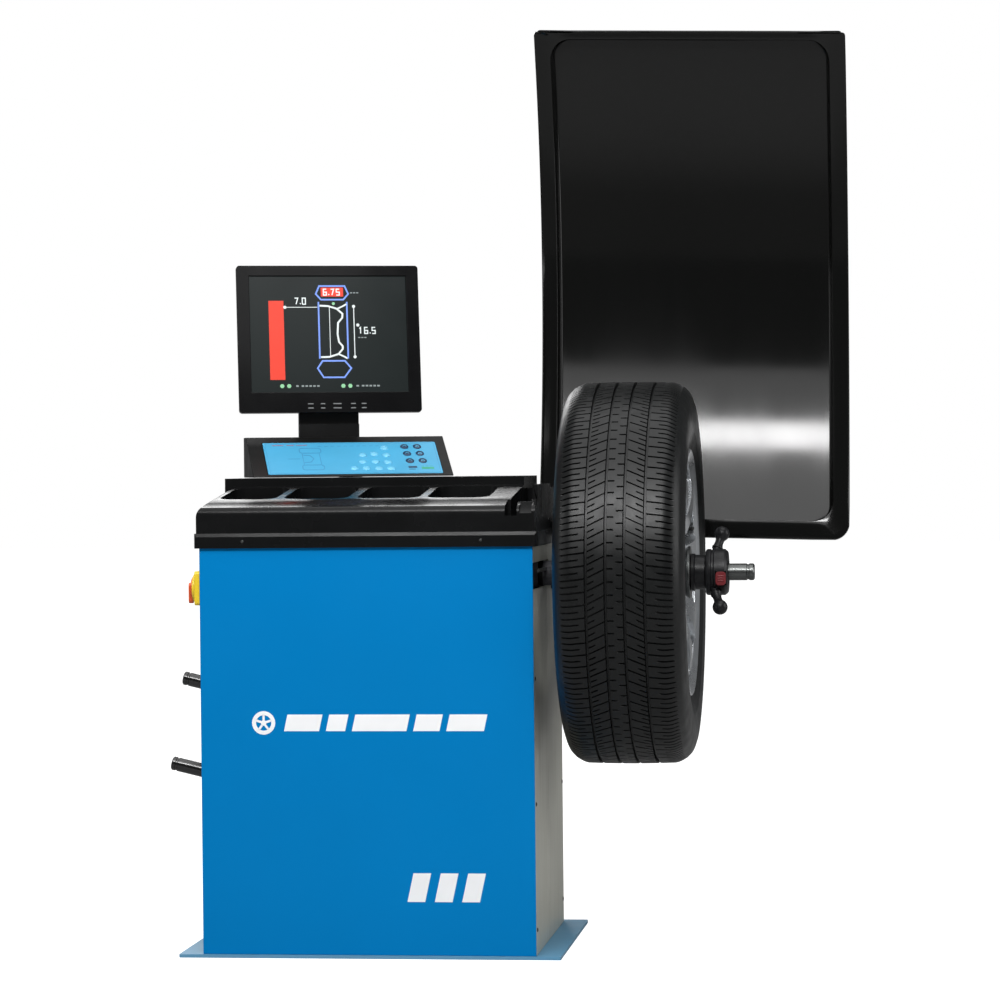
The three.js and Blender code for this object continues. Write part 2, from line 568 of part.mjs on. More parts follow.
function makeNut(spindle) {
  const cup = turnedX([
    [RIM_FACE_X + 57, SHAFT_R + GAP], [RIM_FACE_X + 57, 33], [NUT_X0 - GAP, 30],
    [NUT_X0 - GAP, SHAFT_R + GAP], [RIM_FACE_X + 57, SHAFT_R + GAP],
  ], 32);
  piece('pressure_cup', cup, BLACK_METAL, spindle);
  let body = turnedX([
    [NUT_X0, SHAFT_R + GAP], [NUT_X0, NUT_R - 4], [NUT_X0 + 4, NUT_R], [NUT_X1 - 5, NUT_R],
    [NUT_X1, NUT_R - 5], [NUT_X1, SHAFT_R + GAP], [NUT_X0, SHAFT_R + GAP],
  ], 24);
  const socket = block(BUTTON_X - 9.5, BUTTON_X + 9.5, -NUT_R - 5, -NUT_R + 18, -22.5, 2.5);
  body = body.subtract(socket);
  for (const angle of ARM_ANGLES) {
    const hole = onArm(rodZ(ARM_FOOT, NUT_R + 10, 8 + GAP, 20), angle);
    body = body.subtract(hole);
  }
  piece('quick_nut', body, BLACK_METAL, spindle);
  const button = block(BUTTON_X - 9, BUTTON_X + 9, -NUT_R - 3, -NUT_R + 12, -22, 2);
  piece('nut_release_button', button, RED, spindle);
  ARM_ANGLES.forEach((angle, i) => {
    const arm = turnedX([
      [ARM_FOOT + 0.5, 0], [ARM_FOOT + 0.5, 8], [NUT_R + 5, 8], [NUT_R + 5, 10], [NUT_R + 16, 7.5],
      [NUT_R + 23, 8], [NUT_R + 28, 12], [NUT_R + 36, 13.5], [NUT_R + 44, 11.5], [NUT_R + 48.5, 5],
      [NUT_R + 49.5, 0],
    ], 14).rotate([0, -90, 0]);
    piece(`nut_handle_${i + 1}`, onArm(arm, angle), BLACK_PLASTIC, spindle);
  });
}

// ---------------------------------------------------------------- distance gauge
function makeGauge() {
  const gauge = group(root, 0, GAUGE_Y, GAUGE_Z);
  const guide = block(238, SIDE - SHEET - GAP, -18, 18, -18, 18).subtract(rodX(230, 300, GAUGE_R + GAP, 20));
  piece('gauge_guide', guide, BLACK_PLASTIC, gauge);
  piece('gauge_rod', rodX(60, 318, GAUGE_R, 20), STEEL, gauge);
  const plate = alongX(roundedRect(-12, 12, -12, 55, 8), 304, 312, 4);
  const tip = rodX(304, 324, 6, 16).translate([0, 0, 47]);
  const eye = rodX(300, 330, GAUGE_R + GAP, 20);
  piece('gauge_arm', plate.add(tip).subtract(eye), BLACK_METAL, gauge);
}

// ---------------------------------------------------------------- swivelling head and monitor

// The head from the side, or its hollow when inset by the wall.
function headSection(inset) {
  const back = HEAD_D / 2 - inset;
  const slopeFoot = HEAD_LIP - inset / Math.cos(deg(HEAD_SLOPE));
  const onFace = (z) => [-HEAD_D / 2 + (z - slopeFoot) / Math.tan(deg(HEAD_SLOPE)), z];
  const toe = inset > 0 ? [onFace(inset)] : [[-HEAD_D / 2, HEAD_LIP], [-HEAD_D / 2, 0]];
  return outline([[back, inset], [back, HEAD_TOP - inset], onFace(HEAD_TOP - inset), ...toe]);
}

function makeHead() {
  const pivot = rodZ(TRAY_TOP_Z + GAP, HEAD_Z + 26, 22, 24);
  piece('head_pivot', pivot.translate([HEAD_X, HEAD_Y, 0]), BLACK_METAL);
  const head = group(root, HEAD_X, HEAD_Y, HEAD_Z, deg(HEAD_TURN));
  const outer = alongX(headSection(0), -HEAD_LEFT, HEAD_RIGHT);
  const hollow = alongX(headSection(HEAD_WALL), -HEAD_LEFT + HEAD_WALL, HEAD_RIGHT - HEAD_WALL);
  const shell = outer.subtract(hollow);
  const pad = onSlope(block(-PAD_HALF, PAD_HALF, PAD_LOW, PAD_HIGH, -4.2, 0.6));
  let box = shell.subtract(rodZ(-1, 10, 22.6, 24)).subtract(pad);
  const rest = onSlope(block(-PAD_HALF - 2, PAD_HALF + 2, PAD_LOW - 2, PAD_HIGH + 2, -6, -3));
  const ledge = rest.subtract(onSlope(block(-PAD_HALF + 8, PAD_HALF - 8, PAD_LOW + 6, PAD_HIGH - 6, -7, -2)));
  const socket = block(NECK_U - 58, NECK_U + 58, NECK_B - 13, NECK_B + 13, HEAD_TOP - 4, HEAD_TOP + 1);
  box = box.add(ledge.intersect(outer)).subtract(socket);
  piece('head_box', box, BLACK_PLASTIC, head);
  makeKeypad(head);
  makeMonitor(head);
}

// Places a body drawn flat (u across, v up the slope, w out of the face) on the keypad slope.
function onSlope(body) {
  return body.rotate([HEAD_SLOPE, 0, 0]).translate([0, -HEAD_D / 2, HEAD_LIP]);
}

function makeKeypad(head) {
  const oval = (a, b) => {
    const shape = new THREE.Shape();
    shape.absellipse(0, 0, a, b, 0, 2 * Math.PI);
    return shape;
  };
  let sheet = block(-PAD_HALF + GAP, PAD_HALF - GAP, PAD_LOW + GAP, PAD_HIGH - GAP, -2.6, 0.4);
  for (const [u, v] of FUNCTION_KEYS) {
    const hole = alongZ(oval(KEY_A + GAP, KEY_B + GAP), -5, 2, 8);
    sheet = sheet.subtract(hole.translate([u, v, 0]));
  }
  piece('keypad_membrane', onSlope(sheet), KEYPAD_BLUE, head);
  FUNCTION_KEYS.forEach(([u, v], i) => {
    const key = alongZ(oval(KEY_A, KEY_B), -1.4, 1.8, 8);
    piece(`function_key_${i + 1}`, onSlope(key.translate([u, v, 0])), KEY_DARK, head);
  });
}

function makeMonitor(head) {
  const neckSide = roundedRect(NECK_B - 11, NECK_B + 11, HEAD_TOP - 4 + GAP, TILT_Z + 11, 3, 10);
  const neck = alongX(neckSide, NECK_U - 56, NECK_U + 56, 4);
  const knuckle = rodX(NECK_U - 90, NECK_U + 90, 5 + GAP, 16).translate([0, NECK_B, TILT_Z]);
  const relief = block(NECK_U - 57, NECK_U + 57, NECK_B - 12, NECK_B - 4, HEAD_TOP + 24, TILT_Z + 20);
  piece('monitor_neck', neck.subtract(knuckle).subtract(relief), BLACK_PLASTIC, head);
  const screen = group(head, NECK_U, NECK_B, TILT_Z);
  screen.rotation.x = -deg(MONITOR_TILT);
  const half = MONITOR_W / 2;
  const low = MONITOR_MID_Z - MONITOR_H / 2 - TILT_Z;
  const high = low + MONITOR_H;
  const front = -34;
  const bezelBack = front + 12;
  const active = { w: 290, h: 215, z: low + 41 };
  const frame = alongY(roundedRect(-half, half, low, high, 7), front, bezelBack, 4);
  const window = block(-active.w / 2, active.w / 2, front - 1, bezelBack + 1, active.z, active.z + active.h);
  const rebate = block(-active.w / 2 - 6, active.w / 2 + 6, front + 4, bezelBack + 1,
    active.z - 6, active.z + active.h + 6);
  piece('monitor_bezel', frame.subtract(window).subtract(rebate), GLOSS_BLACK, screen);
  const glass = block(-active.w / 2 - 5.5, active.w / 2 + 5.5, front + 4.4, bezelBack - GAP,
    active.z - 5.5, active.z + active.h + 5.5);
  piece('monitor_screen', glass, SCREEN, screen);
  const rear = alongY(roundedRect(-half + 3, half - 3, low + 3, high - 3, 8), bezelBack + GAP, -14, 4);
  const hump = alongY(roundedRect(-120, 120, 20, 200, 14), -15, 14, 4);
  const pin = rodX(-62, 62, 5, 16);
  const ears = [-1, 1].map((side) => {
    const x = side > 0 ? [57, 64] : [-64, -57];
    return alongX(roundedRect(-15, 9, -9, 26, 6), ...x, 4);
  });
  const arms = joined(ears.map((ear) => ear.add(pin)));
  piece('monitor_back', rear.add(hump).add(arms), BLACK_PLASTIC, screen);
}

// ---------------------------------------------------------------- wheel guard hood

function hoodArc(x0, x1, depth0, depth1, z0, z1) {
  const [rIn, rOut] = [HOOD_R + depth0, HOOD_R + depth1];
  const low = Math.asin((z0 - HOOD_MID_Z) / HOOD_R);
  const high = Math.asin((z1 - HOOD_MID_Z) / HOOD_R);
  const shape = new THREE.Shape();
  shape.absarc(HOOD_AXIS_Y, HOOD_MID_Z, rOut, low, high, false);
  shape.absarc(HOOD_AXIS_Y, HOOD_MID_Z, rIn, high, low, true);
  return alongX(shape, x0, x1, 12);
}

// Lowers a hood body evenly towards its right edge.
function skewed(body) {
  const middle = (HOOD_LEFT + HOOD_RIGHT) / 2;
  const matrix = new THREE.Matrix4().set(
    1, 0, 0, 0,
    0, 1, 0, 0,
    -HOOD_SKEW, 0, 1, HOOD_SKEW * middle,
    0, 0, 0, 1,
  );
  return body.transform(matrix.elements);
}

function makeHood() {
  const inset = (extra) => [HOOD_LEFT + HOOD_RIM + extra, HOOD_RIGHT - HOOD_RIM - extra];
  const zInset = (extra) => [HOOD_LOW + HOOD_RIM - 2 + extra, HOOD_HIGH - 14 - extra];
  const sheet = hoodArc(HOOD_LEFT, HOOD_RIGHT, 0, HOOD_SHEET, HOOD_LOW, HOOD_HIGH);
  const dish = hoodArc(...inset(0), 0, HOOD_RECESS + HOOD_SHEET, ...zInset(0));
  const hollow = hoodArc(...inset(HOOD_SHEET), -5, HOOD_RECESS, ...zInset(HOOD_SHEET));
  const corners = alongY(roundedRect(HOOD_LEFT, HOOD_RIGHT, HOOD_LOW, HOOD_HIGH, 33, 14), 200, 500, 5);
  const shell = sheet.add(dish).subtract(hollow).intersect(corners);
  piece('hood_shell', skewed(shell), GLOSS_BLACK);
  makeHoodArm();
}

function makeHoodArm() {
  const outerR = HOOD_R + HOOD_RECESS + HOOD_SHEET;
  const backY = HOOD_AXIS_Y + Math.sqrt(outerR ** 2 - (HINGE_Z - HOOD_MID_Z) ** 2);
  const tubeY = backY + ARM_TUBE_R + 8;
  const shaft = rodX(20, SWING_X + 12, HOOD_SHAFT_R, 20).translate([0, HINGE_Y, HINGE_Z]);
  piece('hood_shaft', shaft, STEEL);
  const plateShape = new THREE.Shape();
  plateShape.absarc(tubeY, HINGE_Z, 22, -Math.PI / 2, Math.PI / 2, false);
  plateShape.absarc(HINGE_Y, HINGE_Z, 26, Math.PI / 2, 1.5 * Math.PI, false);
  const plate = alongX(plateShape, SWING_X - 10, SWING_X + 6);
  const tube = rodX(SWING_X + 5, ARM_TUBE_END, ARM_TUBE_R).translate([0, tubeY, HINGE_Z]);
  const pads = [310, 500].map((x) => block(x, x + 40, HINGE_Y + 60, tubeY, HINGE_Z - 13, HINGE_Z + 13));
  const spaceBack = HOOD_RECESS + HOOD_SHEET + GAP;
  const hoodSpace = skewed(hoodArc(HOOD_LEFT, HOOD_RIGHT, -100, spaceBack, HOOD_LOW, HOOD_HIGH));
  const bore = rodX(SWING_X - 20, SWING_X + 4, HOOD_SHAFT_R + GAP, 20).translate([0, HINGE_Y, HINGE_Z]);
  const end = rodX(SWING_X, SWING_X + 20, HOOD_SHAFT_R + GAP, 20).translate([0, HINGE_Y, HINGE_Z]);
  const arm = joined([plate, tube, joined(pads).subtract(hoodSpace)]).subtract(bore).subtract(end);
  piece('hood_arm', arm, BLACK_METAL);
  const brackets = [['hood_bracket_left', 40], ['hood_bracket_right', 150]];
  const foot = BACK + GAP;
  const sideView = outline([
    [foot, HINGE_Z - 170], [foot + 10, HINGE_Z - 170], [HINGE_Y + 22, HINGE_Z - 20],
    [HINGE_Y + 22, HINGE_Z + 20], [HINGE_Y - 20, HINGE_Z + 20], [HINGE_Y - 20, HINGE_Z - 86],
    [foot, HINGE_Z - 90],
  ]);
  for (const [name, x] of brackets) {
    const seat = rodX(x - 2, x + 30, HOOD_SHAFT_R + GAP, 20).translate([0, HINGE_Y, HINGE_Z]);
    piece(name, alongX(sideView, x, x + 26).subtract(seat), BLACK_METAL);
  }
}

// ---------------------------------------------------------------- assembly
makeBase();
makeFrontPanel();
makeSidePanel(-1);
makeSidePanel(1);
makeRearPanel();
makeFrame();
makeSlotCover();
makePegs();
makeSwitch();
makeTray();
const spindle = makeSpindle();
makeSuspension();
makeDrive();
makeWheel(spindle);
makeNut(spindle);
makeGauge();
makeHead();
makeHood();

export default root;
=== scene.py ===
import json
import math

import bmesh
import bpy
from mathutils import Matrix, Vector

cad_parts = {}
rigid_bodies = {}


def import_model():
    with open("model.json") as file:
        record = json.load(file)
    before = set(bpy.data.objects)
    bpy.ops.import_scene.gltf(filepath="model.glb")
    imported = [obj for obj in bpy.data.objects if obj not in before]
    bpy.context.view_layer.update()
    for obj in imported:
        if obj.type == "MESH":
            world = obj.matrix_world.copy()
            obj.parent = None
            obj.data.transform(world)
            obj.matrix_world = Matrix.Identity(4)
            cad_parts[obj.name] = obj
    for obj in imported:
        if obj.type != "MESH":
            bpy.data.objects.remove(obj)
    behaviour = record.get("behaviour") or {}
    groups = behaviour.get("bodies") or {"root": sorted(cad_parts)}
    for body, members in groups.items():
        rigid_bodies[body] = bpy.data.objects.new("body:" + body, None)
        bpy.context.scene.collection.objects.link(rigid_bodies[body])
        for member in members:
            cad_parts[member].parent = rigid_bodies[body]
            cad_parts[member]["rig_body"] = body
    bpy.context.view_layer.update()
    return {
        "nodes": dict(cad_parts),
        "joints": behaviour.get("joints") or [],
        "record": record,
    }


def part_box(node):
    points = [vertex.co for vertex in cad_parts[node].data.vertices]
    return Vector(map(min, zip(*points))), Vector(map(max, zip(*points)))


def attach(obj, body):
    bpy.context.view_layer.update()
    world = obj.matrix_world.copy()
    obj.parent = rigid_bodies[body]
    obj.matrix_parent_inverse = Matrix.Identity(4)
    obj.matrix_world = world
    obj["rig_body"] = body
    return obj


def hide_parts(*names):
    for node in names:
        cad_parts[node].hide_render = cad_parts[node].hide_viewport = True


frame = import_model()

# The looks of the wheel balancer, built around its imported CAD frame. Shapes are written in millimetres and
# turned into metres by add(). +X runs along the spindle, -Y is the operator's side, and +Z is up.
MM = 0.001
SLOT_OF = {part["node"]: part["material_slot"] for part in frame["record"]["subparts"]}
JOINTS = {joint["name"]: joint for joint in frame["joints"]}

# ---- driving dimensions
SHEET = 2.0                      # cabinet sheet steel
FOLD = 18.0                      # depth of the folded edges
SEAM_Y = -15.0                   # where the two right-hand sheets meet
TRAY_STEP_Z = 743.0
POCKET_FLOOR = 772.0
POCKETS = ((-272, -170), (-157, -42), (-26, 86), (99, 210))
POCKET_Y = (-172.0, 4.0)
POCKET_CORNER = 28.0
RIDGE_Y = 25.0
MAIN_TOP_END = 248.0
TROUGH = (252.0, 290.0, -200.0, 62.0, 764.0)   # x0, x1, y0, y1, floor
HEAD_TURN = 17.0
HEAD_SLOPE = 30.0
HEAD_LEFT = 190.0                # head's ends, measured from its pivot
HEAD_RIGHT = 180.0
HEAD_D = 167.0
SLOPE_RUN = 124.4
HEAD_LIP = 2.5
HEAD_TOP = HEAD_LIP + math.tan(math.radians(HEAD_SLOPE)) * SLOPE_RUN
NECK_U = -32.0
NECK_B = 62.0
MONITOR_W = 342.0
MONITOR_H = 278.0
MONITOR_TILT = 8.0
MONITOR_MID_Z = 253.8
TILT_Z = HEAD_TOP + 76.0
SCREEN_W = 290.0
SCREEN_H = 215.0
WHEEL_X = 452.0
TYRE_R = 338.0
BEAD_R = 203.0
RIM_W = 212.0
RIM_FACE_X = 500.0
SPOKES = 7
SHAFT_R = 15.0
NUT_R = 41.0
HANDLE_FOOT = NUT_R - 6          # how far from the shaft's axis its handles start
HANDLES = (62, 233)              # degrees from +Y towards +Z
HANDLE_LEAN = 15.0               # and outwards along the shaft
HANDLE_X = 599.0
TRAY_STEP = 3.5                  # how far the top stands in from the lip
CREST_Y = -180.0                 # where the top's front slope ends
CREST_Z = 801.0
WALL_THROUGH = 900.0             # above every part of the tray
HOOD_SAG = 110.0
HOOD_RECESS = 26.0
HOOD_RIM = 30.0
HOOD_SHEET = 3.0
HOOD_CORNER_LOW = 33.0           # radii of the outer edge's corners
HOOD_CORNER_HIGH = 14.0
PANEL_CORNER = 30.0              # radius of the sunk panel's corners
PEG_R = 12.5
PEG_FLANGE_R = 22.0
PEG_RISE = 13.5                  # degrees above the level
HOOD_SKEW = 0.027                # its edges fall this much for each mm to the right
KEY_A = 7.5                      # half the width and height of a function key
KEY_B = 8.8


def span(node):
    """Lowest and highest corner of a CAD node, in millimetres."""
    low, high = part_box(node)
    return low / MM, high / MM


def middle(node):
    low, high = span(node)
    return (low + high) / 2


def joint_at(name):
    return Vector(JOINTS[name]["pos_m"]) / MM


# ---- materials
MATERIALS = {}
PATCH_ENDS = (0.3, 0.7)          # noise values where the darkest and the lightest tone begin
VERTICAL = (30, 30, 1)
ALONG_X = (1, 40, 40)
LEVEL = (1, 1, 0.2)


def feed(tree, node, values):
    """Sets a node's sockets, named with _ for a space, to plain values or links other sockets to them."""
    for name, value in values.items():
        socket = node.inputs[name.replace("_", " ")]
        if isinstance(value, bpy.types.NodeSocket):
            tree.links.new(value, socket)
        else:
            socket.default_value = value
    return node


def make_node(tree, kind, **values):
    return feed(tree, tree.nodes.new(kind), values)


class Finish:
    """A procedural material: the shader's own sockets hold what is even, and noise drives what varies."""

    def __init__(self, name, **even):
        material = bpy.data.materials.new("finish_" + name)
        material.use_nodes = True
        self.tree = material.node_tree
        self.place = make_node(self.tree, "ShaderNodeTexCoord").outputs["Object"]
        self.shade(**even)
        MATERIALS[name] = material

    def shade(self, **values):
        feed(self.tree, self.tree.nodes["Principled BSDF"], values)

    def noise(self, scale, stretch=(1, 1, 1), detail=3.0):
        mapping = make_node(self.tree, "ShaderNodeMapping", Vector=self.place, Scale=stretch)
        return make_node(self.tree, "ShaderNodeTexNoise", Vector=mapping.outputs["Vector"], Scale=scale,
                         Detail=detail).outputs["Fac"]

    def color(self, factor, *tones):
        """From a darker to a lighter tone."""
        ramp = make_node(self.tree, "ShaderNodeValToRGB", Fac=factor)
        for element, position, tone in zip(ramp.color_ramp.elements, PATCH_ENDS, tones):
            element.position = position
            element.color = (*tone, 1)
        self.shade(Base_Color=ramp.outputs["Color"])

    def roughness(self, factor, low, high):
        ramp = make_node(self.tree, "ShaderNodeMapRange", Value=factor, From_Min=PATCH_ENDS[0],
                         From_Max=PATCH_ENDS[1], To_Min=low, To_Max=high)
        self.shade(Roughness=ramp.outputs["Result"])

    def bump(self, factor, depth):
        relief = make_node(self.tree, "ShaderNodeBump", Height=factor, Strength=1.0, Distance=depth * MM)
        self.shade(Normal=relief.outputs["Normal"])


def around(color, spread):
    """A darker and a lighter tone of one colour."""
    return [[channel * share for channel in color] for share in (1 - spread, 1 + spread)]


def surface(name, tones, rough, patch, stretch=(1, 1, 1), grain=0.0, grain_scale=600.0, specular=0.5, **even):
    """Tone and roughness vary in patches, and a fine grain of the given depth in mm breaks the gloss."""
    finish = Finish(name, Specular_IOR_Level=specular, **even)
    finish.color(finish.noise(patch, stretch, 5.0), *tones)
    finish.roughness(finish.noise(patch * 2.7, stretch, 4.0), *rough)
    if grain:
        finish.bump(finish.noise(grain_scale, stretch, 2.0), grain)


def paint(name, color, spread, *varied, **even):
    surface(name, around(color, spread), *varied, **even)


def glow(name, color, strength):
    finish = Finish(name, Roughness=0.3, Specular_IOR_Level=0.1, Emission_Strength=strength,
                    Emission_Color=(*color, 1))
    finish.color(finish.noise(60.0), *around(color, 0.05))


paint("cabinet_blue", (0.0, 0.172, 0.45), 0.03, (0.38, 0.5), 2.5, grain=0.02, grain_scale=420.0,
      specular=0.05)
surface("cabinet_grey", ((0.43, 0.43, 0.37), (0.47, 0.47, 0.4)), (0.3, 0.46), 1.6, VERTICAL, 0.02, 40.0,
        Metallic=0.2)
paint("black_plastic", (0.009, 0.009, 0.0095), 0.15, (0.3, 0.45), 9.0, grain=0.012, specular=0.22)
paint("peg_gloss", (0.004, 0.004, 0.0043), 0.15, (0.14, 0.2), 9.0, specular=0.6)
paint("black_metal", (0.009, 0.009, 0.0095), 0.2, (0.3, 0.42), 12.0, grain=0.01, specular=0.22)
paint("switch_yellow", (0.7, 0.5, 0.02), 0.06, (0.3, 0.45), 20.0, grain=0.01)
paint("switch_red", (0.6, 0.09, 0.02), 0.08, (0.25, 0.4), 20.0, grain=0.008)
paint("tray_black", (0.005, 0.0052, 0.0054), 0.2, (0.2, 0.3), 7.0, grain=0.03, grain_scale=900.0,
      specular=0.12)
paint("cast_iron", (0.09, 0.09, 0.1), 0.25, (0.5, 0.7), 15.0, grain=0.2, grain_scale=220.0, Metallic=0.4)
paint("steel", (0.1, 0.104, 0.102), 0.12, (0.24, 0.38), 12.0, ALONG_X, 0.01, Metallic=1.0)
paint("sensor_brass", (0.6, 0.42, 0.16), 0.12, (0.25, 0.4), 30.0, Metallic=1.0)
paint("belt_rubber", (0.02, 0.02, 0.02), 0.2, (0.6, 0.8), 30.0, grain=0.05)
paint("power_box", (0.25, 0.26, 0.28), 0.06, (0.4, 0.55), 8.0, grain=0.03)
paint("tyre", (0.0026, 0.003, 0.0031), 0.22, (0.34, 0.46), 14.0, grain=0.08, grain_scale=700.0, specular=0.28)
paint("alloy", (0.5, 0.52, 0.54), 0.05, (0.24, 0.36), 9.0, grain=0.01, grain_scale=1500.0, Metallic=0.85,
      Coat_Weight=0.3)
paint("nut_black", (0.009, 0.009, 0.01), 0.2, (0.3, 0.42), 25.0, grain=0.02, specular=0.22)
paint("button_red", (0.16, 0.012, 0.016), 0.1, (0.3, 0.42), 25.0, grain=0.01)
paint("head_black", (0.006, 0.006, 0.006), 0.15, (0.28, 0.4), 9.0, grain=0.04, grain_scale=900.0,
      specular=0.22)
paint("keypad_blue", (0.055, 0.33, 0.55), 0.05, (0.3, 0.42), 14.0, grain=0.01)
paint("key_dark", (0.008, 0.035, 0.085), 0.15, (0.28, 0.4), 30.0, grain=0.01)
paint("monitor_black", (0.005, 0.005, 0.0053), 0.15, (0.09, 0.13), 9.0, grain=0.004, specular=0.1)
paint("screen", (0.008, 0.0098, 0.0098), 0.03, (0.13, 0.16), 6.0, specular=0.1, Emission_Strength=0.28,
      Emission_Color=(0.032, 0.042, 0.042, 1))
paint("hood_black", (0.0025, 0.0026, 0.0024), 0.15, (0.09, 0.14), 3.0, LEVEL, specular=0.3)
# A lighter, greyer copy of the cabinet's blue for the base plate: painted light, standing in for the light
# its upward face catches.
paint("plate_blue_painted_light", (0.095, 0.26, 0.41), 0.08, (0.4, 0.5), 2.5, grain=0.02, grain_scale=420.0)
paint("print_white", (0.82, 0.83, 0.84), 0.02, (0.4, 0.5), 20.0)
paint("dome_pale", (0.13, 0.46, 0.68), 0.05, (0.2, 0.3), 20.0)
for ink, tone in (("ink_faint", (0.04, 0.22, 0.42)), ("ink_red", (0.3, 0.1, 0.16)),
                  ("ink_green", (0.03, 0.33, 0.2)), ("mark_grey", (0.16, 0.165, 0.17))):
    paint(ink, tone, 0.08, (0.3, 0.4), 20.0)
glow("glow_white", (0.5, 0.54, 0.54), 0.55)
glow("glow_blue", (0.14, 0.23, 0.6), 0.5)
glow("glow_orange", (0.52, 0.04, 0.024), 0.6)
glow("glow_green", (0.2, 0.42, 0.24), 0.5)
glow("glow_grey", (0.2, 0.23, 0.23), 0.4)

# ---- solids: (corners, faces)
PLACES = {
    "X": lambda a, b, c: Vector((c, a, b)),
    "Y": lambda a, b, c: Vector((a, c, b)),
    "Z": lambda a, b, c: Vector((a, b, c)),
}


def shift(x, y, z):
    return Matrix.Translation((x, y, z))


AXIS = joint_at("spindle_spin")
SPINDLE_PLACE = shift(0, AXIS.y, AXIS.z)


def merged(*solids):
    corners, faces = [], []
    for more_corners, more_faces in solids:
        faces += [tuple(len(corners) + i for i in face) for face in more_faces]
        corners += more_corners
    return corners, faces


def moved(solid, matrix):
    return [matrix @ corner for corner in solid[0]], solid[1]


def shifted(solid, x, y, z):
    return moved(solid, shift(x, y, z))


def turned_about(axis, degrees):
    return Matrix.Rotation(math.radians(degrees), 4, axis)


def prism(outline, start, end, axis="Z"):
    """An outline drawn out along an axis: (y, z) along X, (x, z) along Y, or (x, y) along Z."""
    place = PLACES[axis]
    count = len(outline)
    corners = [place(a, b, depth) for depth in (start, end) for a, b in outline]
    faces = [tuple(range(count)), tuple(range(2 * count - 1, count - 1, -1))]
    faces += [(i, count + i, count + (i + 1) % count, (i + 1) % count) for i in range(count)]
    return corners, faces


def arc(a, b, radius, start, end, steps=6, radius_b=None):
    tall = radius if radius_b is None else radius_b
    turns = [math.radians(start + (end - start) * i / steps) for i in range(steps + 1)]
    return [(a + radius * math.cos(t), b + tall * math.sin(t)) for t in turns]


def rounded(a0, a1, b0, b1, radius, steps=5, top=None):
    top = radius if top is None else top
    return (arc(a1 - radius, b0 + radius, radius, -90, 0, steps) + arc(a1 - top, b1 - top, top, 0, 90, steps)
            + arc(a0 + top, b1 - top, top, 90, 180, steps)
            + arc(a0 + radius, b0 + radius, radius, 180, 270, steps))


def block(x0, x1, y0, y1, z0, z1):
    return prism([(x0, y0), (x1, y0), (x1, y1), (x0, y1)], z0, z1)


def turned(profile, steps=64, ring=False):
    """A profile of (x, r) turned about the X axis. A ring's profile closes on itself."""
    corners, loops = [], []
    for x, r in profile:
        if r <= 0:
            loops.append([len(corners)] * steps)
            corners.append(Vector((x, 0, 0)))
            continue
        loops.append([len(corners) + i for i in range(steps)])
        for i in range(steps):
            turn = 2 * math.pi * i / steps
            corners.append(Vector((x, r * math.cos(turn), r * math.sin(turn))))
    pairs = list(zip(loops, loops[1:]))
    if ring:
        pairs.append((loops[-1], loops[0]))
    faces = []
    for one, two in pairs:
        for i in range(steps):
            quad = (one[i], one[(i + 1) % steps], two[(i + 1) % steps], two[i])
            face = tuple(dict.fromkeys(quad))
            if len(face) > 2:
                faces.append(face)
    return corners, faces


def rod(x0, x1, radius, steps=40):
    return turned([(x0, 0), (x0, radius), (x1, radius), (x1, 0)], steps)


def along(x, r, points):
    """A profile's points, given from the place (x, r)."""
    return [(x + step, r + rise) for step, rise in points]


def strip(points, width, height, closed=False):
    """A flat band of the given width along a line of (x, y) points, standing `height` out along Z."""
    line = [Vector(point) for point in points]
    count = len(line)
    corners = []
    for i, point in enumerate(line):
        before = line[i - 1] if closed or i else point
        after = line[(i + 1) % count] if closed or i < count - 1 else point
        one = (point - before).normalized() if point != before else (after - point).normalized()
        two = (after - point).normalized() if after != point else one
        across = Vector((-(one + two).y, (one + two).x)).normalized()
        reach = width / 2 / max(0.4, across.dot(Vector((-one.y, one.x))))
        for side, z in ((1, 0), (-1, 0), (-1, height), (1, height)):
            edge = point + across * reach * side
            corners.append(Vector((edge.x, edge.y, z)))
    faces = []
    for i in range(count if closed else count - 1):
        here, there = 4 * i, 4 * ((i + 1) % count)
        faces += [(here + k, here + (k + 1) % 4, there + (k + 1) % 4, there + k) for k in range(4)]
    if not closed:
        faces += [(0, 1, 2, 3), tuple(4 * (count - 1) + k for k in (3, 2, 1, 0))]
    return corners, faces


def disc(x, y, radius, height, steps=16):
    return prism(arc(x, y, radius, 0, 360 - 360 / steps, steps - 1), 0, height)


def dome(x, y, a, b, height, steps=24, rings=5):
    """A low cap on an oval foot."""
    corners, faces = [], []
    for ring in range(rings):
        lift = math.radians(90 * ring / rings)
        for i in range(steps):
            turn = 2 * math.pi * i / steps
            corners.append(Vector((x + a * math.cos(lift) * math.cos(turn),
                                   y + b * math.cos(lift) * math.sin(turn), height * math.sin(lift))))
    top = len(corners)
    corners.append(Vector((x, y, height)))
    for ring in range(rings - 1):
        for i in range(steps):
            one, two = ring * steps + i, ring * steps + (i + 1) % steps
            faces.append((one, two, two + steps, one + steps))
    last = (rings - 1) * steps
    faces += [(last + i, last + (i + 1) % steps, top) for i in range(steps)]
    faces.append(tuple(range(steps - 1, -1, -1)))
    return corners, faces


def placed(name, data):
    item = bpy.data.objects.new(name, data)
    bpy.context.scene.collection.objects.link(item)
    return item


def mesh_of(name, solid):
    mesh = bpy.data.meshes.new(name)
    mesh.from_pydata([corner * MM for corner in solid[0]], [], solid[1])
    tidy = bmesh.new()
    tidy.from_mesh(mesh)
    bmesh.ops.remove_doubles(tidy, verts=tidy.verts, dist=1e-6)
    bmesh.ops.recalc_face_normals(tidy, faces=tidy.faces)
    tidy.to_mesh(mesh)
    tidy.free()
    return mesh


